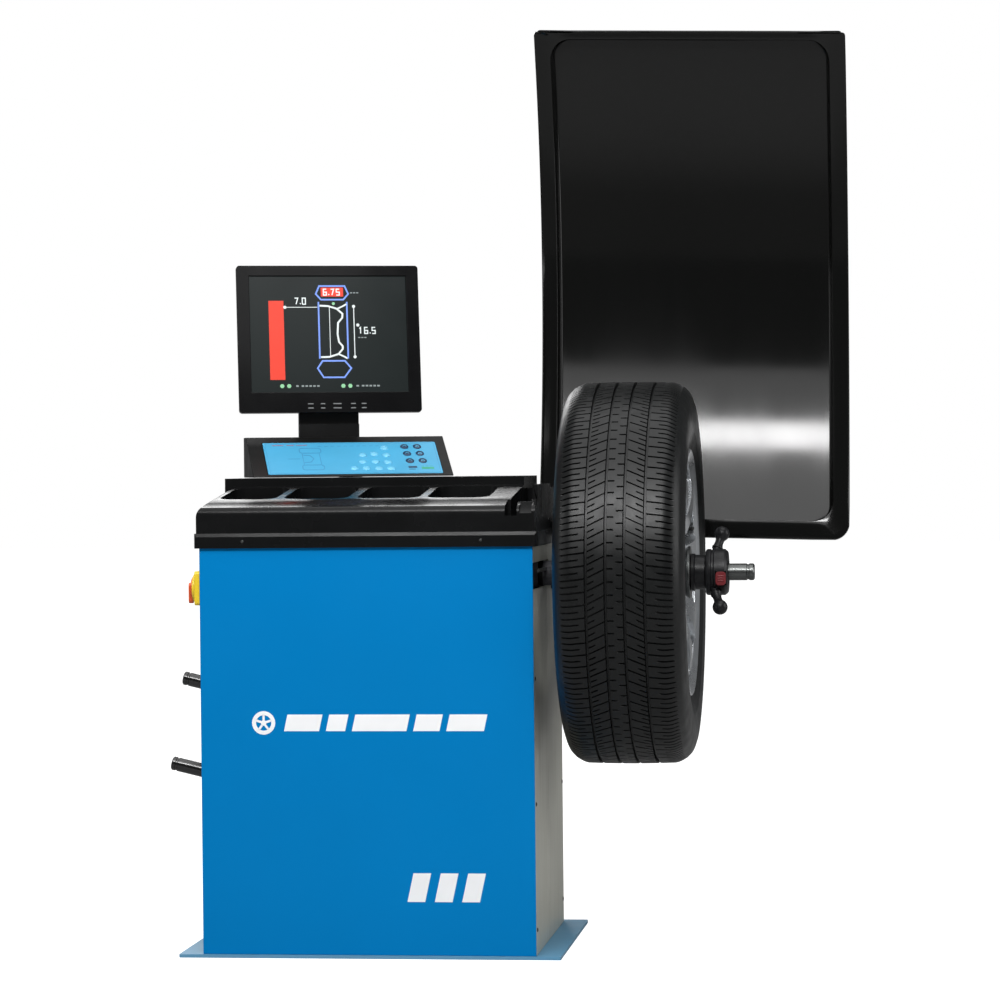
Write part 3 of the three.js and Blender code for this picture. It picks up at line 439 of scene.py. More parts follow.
def combined(solid, others, operation="DIFFERENCE"):
    """The solid with the others cut away, joined on, or kept in common."""
    base = placed("work", mesh_of("work", solid))
    tools = [placed("tool", mesh_of("tool", other)) for other in others]
    for tool in tools:
        step = base.modifiers.new("step", "BOOLEAN")
        step.operation = operation
        step.solver = "EXACT"
        step.object = tool
    seen = base.evaluated_get(bpy.context.evaluated_depsgraph_get()).to_mesh()
    result = [vertex.co / MM for vertex in seen.vertices], [tuple(face.vertices) for face in seen.polygons]
    for item in (base, *tools):
        mesh = item.data
        bpy.data.objects.remove(item)
        bpy.data.meshes.remove(mesh)
    return result


def round_edges(piece, width, segments, limit):
    edges = piece.modifiers.new("edges", "BEVEL")
    edges.width = width * MM
    edges.segments = segments
    edges.limit_method = "ANGLE"
    edges.angle_limit = math.radians(limit)
    return edges


def add(name, solid, body, finish, bevel=0.0, segments=3, limit=25.0, stands_for=(), slot=None):
    """Makes a piece that rides on a body and may stand for CAD nodes."""
    mesh = mesh_of(name, solid)
    mesh.shade_smooth()
    mesh.materials.append(MATERIALS[finish])
    piece = placed(name, mesh)
    if bevel:
        round_edges(piece, bevel, segments, limit).harden_normals = True
    else:
        mesh.set_sharp_from_angle(angle=math.radians(35))
    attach(piece, body)
    if stands_for:
        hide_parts(*stands_for)
    slot = slot or (finish if finish in SLOT_OF.values() else None)
    return piece


def stand_in(node, solid, finish=None, **options):
    """A detailed piece in a CAD node's place and on its body, in the node's slot finish unless another is
    given.
    """
    return add(node + "_detail", solid, frame["nodes"][node]["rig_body"], finish or SLOT_OF[node],
               stands_for=(node,), slot=SLOT_OF[node], **options)


def draw(name, shapes, place, body, finish, slot=None):
    """Flat shapes, drawn on the XY plane, as one thin piece at the given place."""
    add(name, moved(merged(*shapes), place), body, finish, slot=slot)


# ---- base and cabinet
PRINT_DEPTH = 0.3
PRINT_LEAN = 0.22                # slant of the printed bars, across for each mm up
SEAM_GAP = 1.2                   # half the gap between the two sheets


def slanted_bar(start, length, foot, top):
    tilt = (top - foot) * PRINT_LEAN
    return prism([(start, foot), (start + length, foot), (start + length + tilt, top), (start + tilt, top)],
                 0, PRINT_DEPTH)


def front_panel():
    low, high = span("front_panel")
    side_x = high.x - 2.4
    back = low.y + SHEET
    outline = arc(low.x + SHEET, low.y + SHEET, SHEET, 180, 270, 4)
    outline += arc(high.x - SHEET, low.y + SHEET, SHEET, 270, 360, 4)
    for x0, x1 in ((side_x, side_x - SHEET), (-side_x + SHEET, -side_x)):
        outline += [(x0, back), (x0, high.y), (x1, high.y), (x1, back)]
    stand_in("front_panel", prism(outline, low.z, high.z), bevel=0.4, segments=2)
    wheel = Vector((-182, 411.5))
    shapes = [strip(arc(wheel.x, wheel.y, 17, 0, 355, 40), 7, PRINT_DEPTH, closed=True),
              disc(wheel.x, wheel.y, 5, PRINT_DEPTH)]
    for turn in range(90, 450, 72):
        spoke = Vector((math.cos(math.radians(turn)), math.sin(math.radians(turn))))
        shapes.append(strip([wheel + spoke * 5, wheel + spoke * 14], 4, PRINT_DEPTH))
    shapes += [slanted_bar(start, length, 397.0, 426.0)
               for start, length in ((-146, 62), (-72, 34), (-26, 96), (82, 46), (140, 66))]
    shapes += [slanted_bar(start, 31, 99.5, 149.5) for start in (69, 117, 165)]
    draw("front_print", shapes, shift(0, low.y, 0) @ turned_about("X", 90), "base", "print_white")


def side_panel_right():
    """Two sheets that meet at a seam. Their upright edges are folded in, but for the front one."""
    low, high = span("side_panel_right")
    inner = high.x - SHEET
    cover_low, cover_high = span("spindle_slot_cover")
    slot = block(high.x - 60, high.x + 5, low.y - 5, cover_high.y - 8, cover_low.z + 3, cover_high.z - 3)
    gauge_rod = middle("gauge_rod")
    hole = shifted(rod(-5, 5, 10), high.x, gauge_rod.y, gauge_rod.z)
    sheets = []
    for y0, y1, folds in ((low.y, SEAM_Y - SEAM_GAP, 1), (SEAM_Y + SEAM_GAP, high.y, 2)):
        edges = ((y0, y0 + SHEET), (y1 - SHEET, y1))[-folds:]
        folded = [block(inner - FOLD, inner, *edge, low.z, high.z) for edge in edges]
        sheet = combined(block(inner, high.x, y0, y1, low.z, high.z), folded, "UNION")
        sheets.append(combined(sheet, [slot, hole]))
    stand_in("side_panel_right", merged(*sheets), bevel=0.5, segments=2)


def slot_cover():
    low, high = span("spindle_slot_cover")
    plate = prism(rounded(low.y, high.y, low.z, high.z, 3), low.x, low.x + 4.6, "X")
    hole = shifted(rod(-20, 20, 23, 48), low.x, AXIS.y, AXIS.z)
    ribs = [block(low.x + 4, low.x + 6.5, low.y + 1, high.y - 1, z, z + 3) for z in (low.z + 4, high.z - 7)]
    stand_in("spindle_slot_cover", combined(merged(plate, *ribs), [hole]), bevel=0.6, segments=2)
    outline = rounded(low.x + 4.2, low.x + 8.4, AXIS.z + 6, AXIS.z + 12, 1.5, 3)
    add("slot_cover_rail", prism(outline, low.y + 20, AXIS.y - 25, "Y"), "base", "steel")


def peg(node):
    """A grooved sleeve that rises from a round flange on the left-hand side."""
    low, high = span(node)
    foot = shift(high.x, (low.y + high.y) / 2, low.z + PEG_FLANGE_R)
    sleeve = turned([(-4, 0), (-4, PEG_R), (70, PEG_R), (71, PEG_R - 1), (74, PEG_R - 1), (75, PEG_R),
                     (80, PEG_R), (82, PEG_R - 2.5), (82, 5), (79, 4), (79, 0)], 48)
    sleeve = combined(moved(sleeve, turned_about("Y", -PEG_RISE)), [block(-40, 0, -40, 40, -60, 60)])
    flange = turned([(0, 0), (0, PEG_FLANGE_R), (1.5, PEG_FLANGE_R), (3, PEG_FLANGE_R - 1.5), (3, 0)], 48)
    stand_in(node, moved(combined(sleeve, [flange], "UNION"), foot @ turned_about("Z", 180)), "peg_gloss")


def main_switch():
    low, high = span("switch_plate")
    mid = middle("switch_plate")
    face_x = high.x - 10
    plate = prism(rounded(low.y, high.y, low.z, high.z, 6, 6), face_x, high.x, "X")
    boss = turned([(low.x, 0), (low.x, 24), (low.x + 1, 25), (face_x + 1, 25), (face_x + 1, 0)], 64)
    stand_in("switch_plate", combined(plate, [shifted(boss, 0, mid.y, mid.z)], "UNION"), bevel=0.8)
    mark_place = shift(face_x, mid.y, low.z + 3) @ turned_about("Y", -90)
    draw("switch_mark", [disc(0, 0, 1.6, 0.4)], mark_place, "base", "black_plastic")
    knob_low, knob_high = span("switch_knob")
    collar = turned(along(knob_high.x, 0, [(0, 0), (0, 19), (-2, 19), (-2.6, 18.4), (-2.6, 0)]), 64)
    outline = rounded(mid.y - 7, mid.y + 7, mid.z - 27, mid.z + 9, 6.5, 8)
    grip = prism(outline, knob_low.x, knob_high.x - 1.6, "X")
    stand_in("switch_knob", combined(shifted(collar, 0, mid.y, mid.z), [grip], "UNION"), bevel=1.0)


def mains_inlet():
    mid = middle("mains_inlet")
    front = span("mains_inlet")[0].y
    shell = turned([(0, 0), (0, 15), (5, 15), (6.5, 13.5), (9, 13), (9, 10), (3, 10), (3, 0)], 48)
    pin = turned([(2, 0), (2, 1.6), (8, 1.6), (8.4, 1.2), (8.4, 0)], 16)
    place = shift(mid.x, front, mid.z) @ turned_about("Z", 90)
    stand_in("mains_inlet", moved(shell, place))
    pins = [shifted(pin, 0, y, z) for y, z in ((-4.5, 0), (4.5, 0), (0, 4.5))]
    draw("mains_inlet_pins", pins, place, "base", "steel")


FACINGS = {"-Y": ("X", 90), "+Y": ("X", -90), "+X": ("Y", 90), "-X": ("Y", -90)}


def screws(name, finish, places, facing, radius=4.0):
    """Domed screws with a cross recess, made on the XY plane and turned to face the given way."""
    arm = radius * 0.55
    floor = radius * 0.2
    cross = [block(-a, a, -b, b, floor, radius) for a, b in ((arm, 0.5), (0.5, arm))]
    head = combined(dome(0, 0, radius, radius, radius * 0.45), cross)
    turn = turned_about(*FACINGS[facing])
    add(name, merged(*[moved(head, shift(*place) @ turn) for place in places]), "base", finish)


def cabinet_screws():
    low, high = span("side_panel_left")
    right = span("side_panel_right")[1].x
    back_low, back_high = span("rear_panel")
    rows = [low.z + (high.z - low.z) * share for share in (0.06, 0.36, 0.66)]
    beside = [(y, z) for y in (low.y + 14, high.y - 14) for z in rows]
    behind = [(x, back_high.y, z) for x in (back_low.x + 12, back_high.x - 12) for z in rows]
    screws("left_panel_screws", "black_metal", [(low.x, y, z) for y, z in beside], "-X")
    screws("right_panel_screws", "black_metal", [(right, y, z) for y, z in beside], "+X")
    screws("rear_panel_screws", "black_metal", behind, "+Y")


# ---- weight and tool tray
def tray_wells():
    wells = [prism(rounded(x0, x1, *POCKET_Y, POCKET_CORNER, 7), POCKET_FLOOR, WALL_THROUGH)
             for x0, x1 in POCKETS]
    x0, x1, y0, y1, floor = TROUGH
    wells.append(prism(rounded(x0, x1, y0, y1, 5, 3), floor, WALL_THROUGH))
    return wells


def weight_tray():
    low, high = span("weight_tray")
    half = high.x
    edge = low.x + TRAY_STEP
    upper = half - TRAY_STEP
    front = low.y + TRAY_STEP
    back = high.y - TRAY_STEP
    lip = prism(rounded(low.x, half, low.y, high.y, 5, 4), low.z, TRAY_STEP_Z)
    slant = along(low.y, TRAY_STEP_Z, [(-1, 1), (-1, -8), (0, -6), (2.4, 0), (2.4, 1)])
    lip = combined(lip, [prism(slant, low.x - 1, half + 1, "X")])
    section = [(front, TRAY_STEP_Z - 10), (back, TRAY_STEP_Z - 10), (back, high.z), (RIDGE_Y, high.z),
               (RIDGE_Y, 823), (CREST_Y, CREST_Z), (-213, 790.5), (front + 8, 788.4), (front + 4.2, 785.8),
               (front + 1.6, 782), (front, 777)]
    top = prism(section, edge, upper, "X")
    shoulder_x, shoulder_z = 27.0, 24.0
    shoulder = arc(edge + shoulder_x, CREST_Z - shoulder_z, shoulder_x, 180, 90, 8, shoulder_z)
    cutter = [(edge - 9, 860), (edge - 9, CREST_Z - shoulder_z), *shoulder, (edge + shoulder_x, 860)]
    corners, faces = prism(cutter, front - 5, RIDGE_Y - 0.5, "Y")
    slope = 22 / (RIDGE_Y - CREST_Y)
    shear = [Vector((c.x, c.y, c.z + slope * (c.y - CREST_Y) + 0.05)) for c in corners]
    body = combined(combined(lip, [top], "UNION"), [(shear, faces)])
    cuts = tray_wells()
    cuts.append(block(MAIN_TOP_END - 2, MAIN_TOP_END + 19, low.y - 1, TROUGH[2] + 10, 770, 900))
    ramp = [(low.y - 1, 772), (-190, 801), (-190, 900), (low.y - 1, 900)]
    cuts.append(prism(ramp, MAIN_TOP_END + 23, upper - 6, "X"))
    cuts.append(block(MAIN_TOP_END + 3, half + 1, RIDGE_Y - 1, high.y + 1, 816, WALL_THROUGH))
    cuts.append(block(low.x + 4, half - 4, low.y + 4, high.y - 4, low.z - 1, 739))
    cuts.append(block(low.x + 8, half - 8, low.y + 8, high.y - 8, low.z - 1, 759))
    guard = block(TROUGH[1], upper, -188, 10, 790, 824)
    body = combined(combined(body, cuts), [guard], "UNION")
    stand_in("weight_tray", body, bevel=2.2, segments=3, limit=20)
    screws("tray_screws", "steel", [(-215.7, low.y, 728.6), (204, low.y, 728.5)], "-Y", 2.6)


# ---- keypad head
HEAD_PLACE = shift(*joint_at("head_swivel")) @ turned_about("Z", HEAD_TURN)
KEYPAD_PLACE = HEAD_PLACE @ shift(0, -HEAD_D / 2, HEAD_LIP) @ turned_about("X", HEAD_SLOPE)
MEMBRANE = (-161.6, 161.6, 5.4, 121.6)
MEMBRANE_TOP = 0.4
PALE_KEYS = ((63.5, 99), (20, 74), (42, 77), (64.5, 73), (17, 49), (41, 49), (64, 47),
             (-1, 25), (21, 25), (44, 24), (67, 24))
DARK_KEYS = [middle("function_key_%d" % (i + 1)) for i in range(6)]


def head_box():
    front, back = -HEAD_D / 2, HEAD_D / 2
    section = [(front, 0), (back, 0), (back, HEAD_TOP), (front + SLOPE_RUN, HEAD_TOP), (front, HEAD_LIP)]
    body = prism(section, -HEAD_LEFT, HEAD_RIGHT, "X")
    slope = shift(0, front, HEAD_LIP) @ turned_about("X", HEAD_SLOPE)
    recess = moved(block(-162, 162, 5, 122, -3.6, 20), slope)
    socket = block(NECK_U - 58, NECK_U + 58, NECK_B - 13, NECK_B + 13, HEAD_TOP - 4, HEAD_TOP + 10)
    pivot = moved(rod(-5, 30, 24), turned_about("Y", -90))
    body = combined(body, [recess, socket, pivot])
    stand_in("head_box", moved(body, HEAD_PLACE), bevel=2.4, segments=3)
    vents = [block(x, x + 3, back - 0.5, back + 0.6, 18, 52) for x in range(-120, 121, 12)]
    add("head_vents", moved(merged(*vents), HEAD_PLACE), "head", "black_plastic", bevel=0.3, segments=1)


def keypad():
    flat = KEYPAD_PLACE.inverted()
    keys = [(flat @ key).xy for key in DARK_KEYS]
    u0, u1, v0, v1 = MEMBRANE
    sheet = prism(rounded(u0, u1, v0, v1, 3), -2.6, MEMBRANE_TOP)
    holes = [prism(arc(u, v, KEY_A + 0.4, 0, 345, 23, KEY_B + 0.4), -5, 5) for u, v in keys]
    stand_in("keypad_membrane", moved(combined(sheet, holes), KEYPAD_PLACE), bevel=0.25, segments=2)
    thin = 0.15

    def dash(u, v, length, width):
        return strip([(u, v), (u + length, v)], width, thin)

    diagram = [strip(rounded(u0 + 4, u1 - 4, v0 + 3.5, v1 - 3.5, 3, 3), 0.7, thin, closed=True)]
    diagram += [strip(rounded(-96, -56, v - 9, v + 9, 6, 4), 1.6, thin, closed=True) for v in (92, 30)]
    diagram += [strip([(u, 41), (u, 81)], 1.2, thin) for u in (-92, -60)]
    diagram.append(strip([(-92, 76), (-78, 74), (-72, 62), (-78, 50), (-92, 47)], 1.6, thin))
    diagram.append(dash(-120, 62, 22, 1.0))
    diagram += [dash(u, 108, 7, 1.4) for u in range(-60, 60, 12)]
    title = [dash(u, 112, length, 2.2) for u, length in ((-145, 22), (-118, 14), (-100, 20))]
    dark = [dash(100, 28, 16, 6.0), dash(100, 20, 12, 2.0)]
    green = [dash(124, 24, 23, 7.0)] + [dash(u, 31, 5, 1.4) for u in (124, 132, 140)]
    face = KEYPAD_PLACE @ shift(0, 0, MEMBRANE_TOP)
    domes = [dome(u, v, 7.6, 7.4, 2.2) for u, v in PALE_KEYS]
    for name, shapes, finish in (("domes", domes, "dome_pale"), ("print", diagram, "ink_faint"),
                                 ("title", title, "ink_red"), ("dark_mark", dark, "key_dark"),
                                 ("green_mark", green, "ink_green")):
        draw("keypad_" + name, shapes, face, "head", finish, "keypad_blue")
    for i, (u, v) in enumerate(keys):
        cap = prism(arc(u, v, KEY_A - 0.1, 0, 345, 23, KEY_B - 0.1), -1.4, 0.9)
        bulge = shifted(dome(u, v, KEY_A - 0.1, KEY_B - 0.1, 0.9), 0, 0, 0.9)
        stand_in("function_key_%d" % (i + 1), moved(combined(cap, [bulge], "UNION"), KEYPAD_PLACE))
        sign = [strip([(u - 3.5, v - 1.2), (u, v + 2.4), (u + 3.5, v - 1.2)], 1.0, 0.3)]
        if i % 2:
            sign.append(strip([(u - 3.5, v - 3.0), (u + 3.5, v - 3.0)], 1.0, 0.3))
        lift = KEYPAD_PLACE @ shift(0, 0, 1.62)
        draw("function_key_sign_%d" % (i + 1), sign, lift, "key_%d" % (i + 1), "dome_pale", "key_dark")


# ---- monitor
MONITOR_PLACE = HEAD_PLACE @ shift(NECK_U, NECK_B, TILT_Z) @ turned_about("X", -MONITOR_TILT)
MONITOR_LOW = MONITOR_MID_Z - MONITOR_H / 2 - TILT_Z
MONITOR_HIGH = MONITOR_LOW + MONITOR_H
MONITOR_FRONT = -34.0
BEZEL_BACK = MONITOR_FRONT + 12
GLASS_FRONT = MONITOR_FRONT + 4.4
SCREEN_HALF = SCREEN_W / 2
SCREEN_LOW = MONITOR_LOW + 41
SCREEN_HIGH = SCREEN_LOW + SCREEN_H
SCREEN_MID = SCREEN_LOW + SCREEN_H / 2


def monitor_neck():
    left, right = NECK_U - 56, NECK_U + 56
    outline = rounded(NECK_B - 11, NECK_B + 11, HEAD_TOP - 3.6, TILT_Z + 11, 3, 4, 10)
    knuckle = shifted(rod(-90, 90, 5.4, 32), NECK_U, NECK_B, TILT_Z)
    relief = block(left - 1, right + 1, NECK_B - 12, NECK_B - 4, HEAD_TOP + 24, TILT_Z + 20)
    neck = combined(prism(outline, left, right, "X"), [knuckle, relief])
    stand_in("monitor_neck", moved(neck, HEAD_PLACE), bevel=1.5)


def flared_window():
    """The screen's opening, wider at the bezel's front than at the glass."""
    sill = 3.0
    outline = [(-SCREEN_HALF, SCREEN_LOW), (SCREEN_HALF, SCREEN_LOW), (SCREEN_HALF, SCREEN_HIGH),
               (-SCREEN_HALF, SCREEN_HIGH)]
    corners, faces = prism(outline, MONITOR_FRONT - 1, BEZEL_BACK + 1, "Y")
    for c in corners:
        if c.y < MONITOR_FRONT:
            c.x *= 1 + sill / SCREEN_W * 2
            c.z = SCREEN_MID + (c.z - SCREEN_MID) * (1 + sill / SCREEN_H * 2)
    return corners, faces


def screen_block(margin, front, back):
    """A block behind the window that reaches past its edges by the margin."""
    half = SCREEN_HALF + margin
    return block(-half, half, front, back, SCREEN_LOW - margin, SCREEN_HIGH + margin)


def monitor():
    half = MONITOR_W / 2
    outer = prism(rounded(-half, half, MONITOR_LOW, MONITOR_HIGH, 6, 5), MONITOR_FRONT, BEZEL_BACK, "Y")
    bezel = combined(outer, [flared_window(), screen_block(6, MONITOR_FRONT + 4, BEZEL_BACK + 1)])
    stand_in("monitor_bezel", moved(bezel, MONITOR_PLACE), bevel=1.6)
    glass = screen_block(5.5, GLASS_FRONT, BEZEL_BACK - 0.4)
    stand_in("monitor_screen", moved(glass, MONITOR_PLACE), bevel=0.5, segments=2)
    outline = rounded(-half + 3, half - 3, MONITOR_LOW + 3, MONITOR_HIGH - 3, 8)
    rear = prism(outline, BEZEL_BACK + 0.4, -13, "Y")
    hump, hump_faces = prism(rounded(-120, 120, 20, 200, 14), -15, 14, "Y")
    for c in hump:
        wide, tall = (0.9, 0.88) if c.y > 0 else (1.06, 1.08)
        c.x *= wide
        c.z = 110 + (c.z - 110) * tall
    slots = [block(x, x + 4, 11, 20, 125, 165) for x in range(-84, 85, 12)]
    slots.append(block(-22, 22, 8, 20, 45, 75))
    ears = [prism(rounded(-15, 9, -9, 26, 6), x, x + 7, "X") for x in (-64, 57)]
    back = combined(combined(rear, [(hump, hump_faces)], "UNION"), slots)
    back = combined(back, [rod(-62, 62, 5, 32), *ears], "UNION")
    stand_in("monitor_back", moved(back, MONITOR_PLACE), bevel=1.2, segments=2)
    face = MONITOR_PLACE @ shift(0, MONITOR_FRONT, 0) @ turned_about("X", 90)
    marks = [strip([(x - wide / 2, MONITOR_LOW + z), (x + wide / 2, MONITOR_LOW + z)], 1.8, 0.4)
             for x, wide in ((-38, 10), (-15, 8), (12, 15), (42, 9), (62, 9)) for z in (8.5, 16.5)]
    draw("monitor_marks", marks, face, "monitor", "mark_grey", "monitor_black")


SEGMENTS = {   # the strokes of a numeral, between the corners of two stacked squares
    "0": ((0, 0), (1, 0), (1, 2), (0, 2), (0, 0)),
    "1": ((0.2, 1.6), (0.6, 2), (0.6, 0)),
    "5": ((1, 2), (0, 2), (0, 1), (1, 1), (1, 0), (0, 0)),
    "6": ((1, 2), (0, 2), (0, 0), (1, 0), (1, 1), (0, 1)),
    "7": ((0, 2), (1, 2), (0.4, 0)),
}


def numerals(text, x, y, size, width, height):
    """Plain stroke numerals, as on any gauge."""
    strokes = []
    for letter in text:
        if letter == ".":
            strokes.append(disc(x - size * 0.1, y + width / 2, width * 0.6, height, 8))
            x += size * 0.55
            continue
        strokes.append(strip([(x + a * size, y + b * size) for a, b in SEGMENTS[letter]], width, height))
        x += size * 1.9
    return strokes


def screen_picture():
    """A generic wheel section with its two measures, drawn in light on the display."""
    flat = MONITOR_PLACE @ shift(-SCREEN_W / 2, GLASS_FRONT, SCREEN_LOW) @ turned_about("X", 90)
    high = 0.25

    def at(u, v):
        return u * SCREEN_W, v * SCREEN_H

    def line(points, width, closed=False):
        return strip([at(u, v) for u, v in points], width, high, closed)

    def show(name, shapes, finish):
        draw(name, shapes, flat, "monitor", finish, "screen")

    bar = [line([(0.163, 0.1), (0.163, 0.795)], 28)]
    tag = [line([(0.455, 0.872), (0.6, 0.872)], 17)]
    show("screen_bar", bar + tag, "glow_orange")
    top = ((0.422, 0.855), (0.445, 0.925), (0.61, 0.925), (0.633, 0.855), (0.6, 0.805), (0.455, 0.805))
    foot = ((0.422, 0.2), (0.455, 0.265), (0.6, 0.265), (0.64, 0.2), (0.595, 0.12), (0.46, 0.12))
    blue = [line(top, 3.0, True), line(foot, 3.0, True)]
    blue += [line([(u, 0.285), (u, 0.785)], 3.0) for u in (0.438, 0.622)]
    show("screen_tyre", blue, "glow_blue")
    white = [line([(0.445, 0.752), (0.5, 0.748), (0.555, 0.725), (0.592, 0.68), (0.59, 0.645), (0.562, 0.6),
                   (0.557, 0.5), (0.565, 0.43), (0.588, 0.395), (0.588, 0.37), (0.56, 0.325), (0.5, 0.3),
                   (0.445, 0.298)], 3.4)]
    white += [line([(0.556, 0.722), (0.6, 0.75), (0.618, 0.765)], 3.0),
              line([(0.56, 0.325), (0.6, 0.3), (0.618, 0.285)], 3.0)]
    white += [line([(0.225, 0.738), (0.43, 0.738)], 1.2), line([(0.508, 0.31), (0.508, 0.74)], 1.2)]
    white += [line([(0.666, 0.3), (0.666, 0.74)], 1.6)]
    white += [disc(*at(u, v), 3.0, high)
              for u, v in ((0.22, 0.738), (0.666, 0.745), (0.666, 0.3), (0.69, 0.58))]
    white += numerals("7.0", *at(0.285, 0.765), 5.8, 2.0, high)
    white += numerals("16.5", *at(0.695, 0.505), 5.8, 2.0, high)
    show("screen_lines", white, "glow_white")
    show("screen_tag_digits", numerals("6.75", *at(0.472, 0.845), 5.6, 2.2, high * 2), "glow_white")
    green = [disc(*at(u, 0.045), 4.2, high, 6) for u in (0.19, 0.235, 0.585, 0.63)]
    green += [disc(*at(0.535, 0.77), 3.0, high, 6)]
    show("screen_green", green, "glow_green")
    grey = [line([(u, 0.045), (u + 0.016, 0.045)], 3.0) for u in
            (0.28, 0.315, 0.34, 0.365, 0.39, 0.415, 0.67, 0.705, 0.73, 0.755, 0.78, 0.805)]
    grey += [line([(u, v), (u + 0.014, v)], 2.0) for u, v in
             ((0.645, 0.865), (0.665, 0.865), (0.685, 0.865), (0.69, 0.47), (0.71, 0.47), (0.73, 0.47))]
    show("screen_small_marks", grey, "glow_grey")


# ---- tyre
GROOVES = (-51.4, -18.2, 13.6, 48.1)     # middles of the four round grooves, from the wheel's middle plane
GROOVE_W = 5.4
GROOVE_DEPTH = 7.0
PITCHES = 96                              # repeats of the tread pattern in one turn
SIPE_DEPTH = 4.0
TREAD_EDGE = 96.0
RIDGES = ((252, 2.0), (300, 1.6), (224, 2.4))     # raised rings of the sidewalls: radius and width


def crown(x):
    """Tread radius at x from the middle plane: nearly flat, then rounding off to the shoulder."""
    share = abs(x) / TREAD_EDGE
    return TYRE_R - 2.2 * share ** 2 - 8.0 * max(0.0, share - 0.8) ** 1.5 / 0.2 ** 1.5


def tread_columns():
    """Places across the tread as (x, in a round groove, rib number), with steep groove walls."""
    places = []
    edges = (-TREAD_EDGE, *GROOVES, TREAD_EDGE)
    for rib in range(5):
        start = edges[rib] + (GROOVE_W / 2 if rib else 0)
        end = edges[rib + 1] - (GROOVE_W / 2 if rib < 4 else 0)
        count = 9 if rib in (0, 4) else 7
        places += [(start + (end - start) * i / count, False, rib) for i in range(count + 1)]
        if rib < 4:
            places += [(end + 1.0, True, rib), (edges[rib + 1] + GROOVE_W / 2 - 1.0, True, rib)]
    return places


def sipe_shift(x):
    """How far round, in pitches, a cross groove has drifted at x: level at the shoulders, slanted between."""
    if GROOVES[1] <= x <= GROOVES[2]:
        return 0.0
    outer, inner = GROOVES[:2] if x < 0 else GROOVES[:1:-1]
    lean = (x - inner) / (outer - inner)
    return 0.75 * min(1.0, lean) + 0.18 * max(0.0, lean - 1.0)


def has_sipe(x, rib, half_pitch):
    """Whether the cross groove of this half pitch runs through the tread at x."""
    if rib == 2:
        return abs(x - GROOVES[2 if half_pitch else 1]) < 12
    if rib in (1, 3):
        return not half_pitch or abs(x) - abs(GROOVES[0 if rib == 1 else 3]) > -14
    return abs(x) < 93 and (not half_pitch or abs(x) > 66)


def sidewall(side):
    """Half section from the tread's edge to the bead, as (x, r), with the raised rings of a real sidewall."""
    half = 114.0
    shoulder = TYRE_R - 13.5
    points = []
    for i in range(1, 29):
        t = i / 28
        r = shoulder + (BEAD_R + 14 - shoulder) * t
        belly = math.sin(math.pi * min(1.0, (t * 1.02) ** 0.82)) ** 0.55 if t < 1 else 0.0
        x = TREAD_EDGE + (half - TREAD_EDGE - 1) * belly - 2.0 * t ** 4
        ridge = 0.8 * sum(math.exp(-((r - middle_r) / width) ** 2) for middle_r, width in RIDGES)
        points.append((side * (x + ridge), r))
    points.append((side * 93, BEAD_R + 1.5))
    return points


def plain(points):
    """Points of the tyre's section outside the tread."""
    return [(x, r, None, False) for x, r in points]


def tyre():
    fractions = (0.0, 0.16, 0.2, 0.26, 0.3, 0.5, 0.66, 0.7, 0.76, 0.8)   # two cross grooves in each pitch
    columns = [(pitch, part, fraction) for pitch in range(PITCHES) for part, fraction in enumerate(fractions)]
    tread = [(x, crown(x) - (GROOVE_DEPTH if groove else 0), rib, groove)
             for x, groove, rib in tread_columns()]
    lining = [(70, BEAD_R + 1.5), (82, BEAD_R + 20), (99, TYRE_R - 66), (70, TYRE_R - 18)]
    lining += [(-x, r) for x, r in reversed(lining)]
    profile = plain(reversed(sidewall(-1))) + tread + plain(sidewall(1) + lining)
    corners = []
    for pitch, part, fraction in columns:
        in_sipe = part in (2, 3, 7, 8)
        half_pitch = part > 4
        for x, r, rib, groove in profile:
            on_tread = rib is not None
            cut = on_tread and not groove and in_sipe and has_sipe(x, rib, half_pitch)
            radius = r - (SIPE_DEPTH if cut else 0.0)
            drift = sipe_shift(x) if on_tread else sipe_shift(math.copysign(TREAD_EDGE, x)) * (r > 240)
            turn = 2 * math.pi * (pitch + fraction + drift) / PITCHES
            corners.append(Vector((WHEEL_X + x, AXIS.y + radius * math.cos(turn),
                                   AXIS.z + radius * math.sin(turn))))
    wide, long = len(profile), len(columns)
    faces = []
    for j in range(long):
        row, next_row = j * wide, (j + 1) % long * wide
        for i in range(wide):
            after = (i + 1) % wide
            faces.append((row + i, row + after, next_row + after, next_row + i))
    stand_in("tyre", (corners, faces))


# ---- rim
def wheel_disc():
    """The spoked face, with its windows and the recesses of five wheel bolts cut out."""
    section = along(RIM_FACE_X, 0, [
        (0, 33), (0, 72), (34, 118), (38, 160), (30, BEAD_R - 5.6), (46, BEAD_R - 4.6), (51, 180), (55, 168),
        (56, 150), (55, 130), (51, 110), (45, 92), (30, 75), (21, 67), (19, 61), (21, 54), (25, 49), (26, 45),
        (26, 33)])
    outline = [(-14, 92)] + arc(0, 92, 14, 180, 360, 6)[1:] + [(14, 92)] + arc(40, 166, 14, -10, 80, 5)
    outline += arc(0, 0, 182, 86, 94, 3) + arc(-40, 166, 14, 100, 190, 5)
    window = prism(outline, RIM_FACE_X - 12, RIM_FACE_X + 70, "X")
    windows = [moved(window, turned_about("X", 360 * i / SPOKES)) for i in range(SPOKES)]
    lug = shifted(turned([(-20, 0), (-20, 7), (2, 7), (8, 12), (30, 12), (30, 0)], 32), RIM_FACE_X + 2, 57, 0)
    lugs = [moved(lug, turned_about("X", 36 + 72 * i)) for i in range(5)]
    return combined(turned(section, 144, ring=True), windows + lugs)


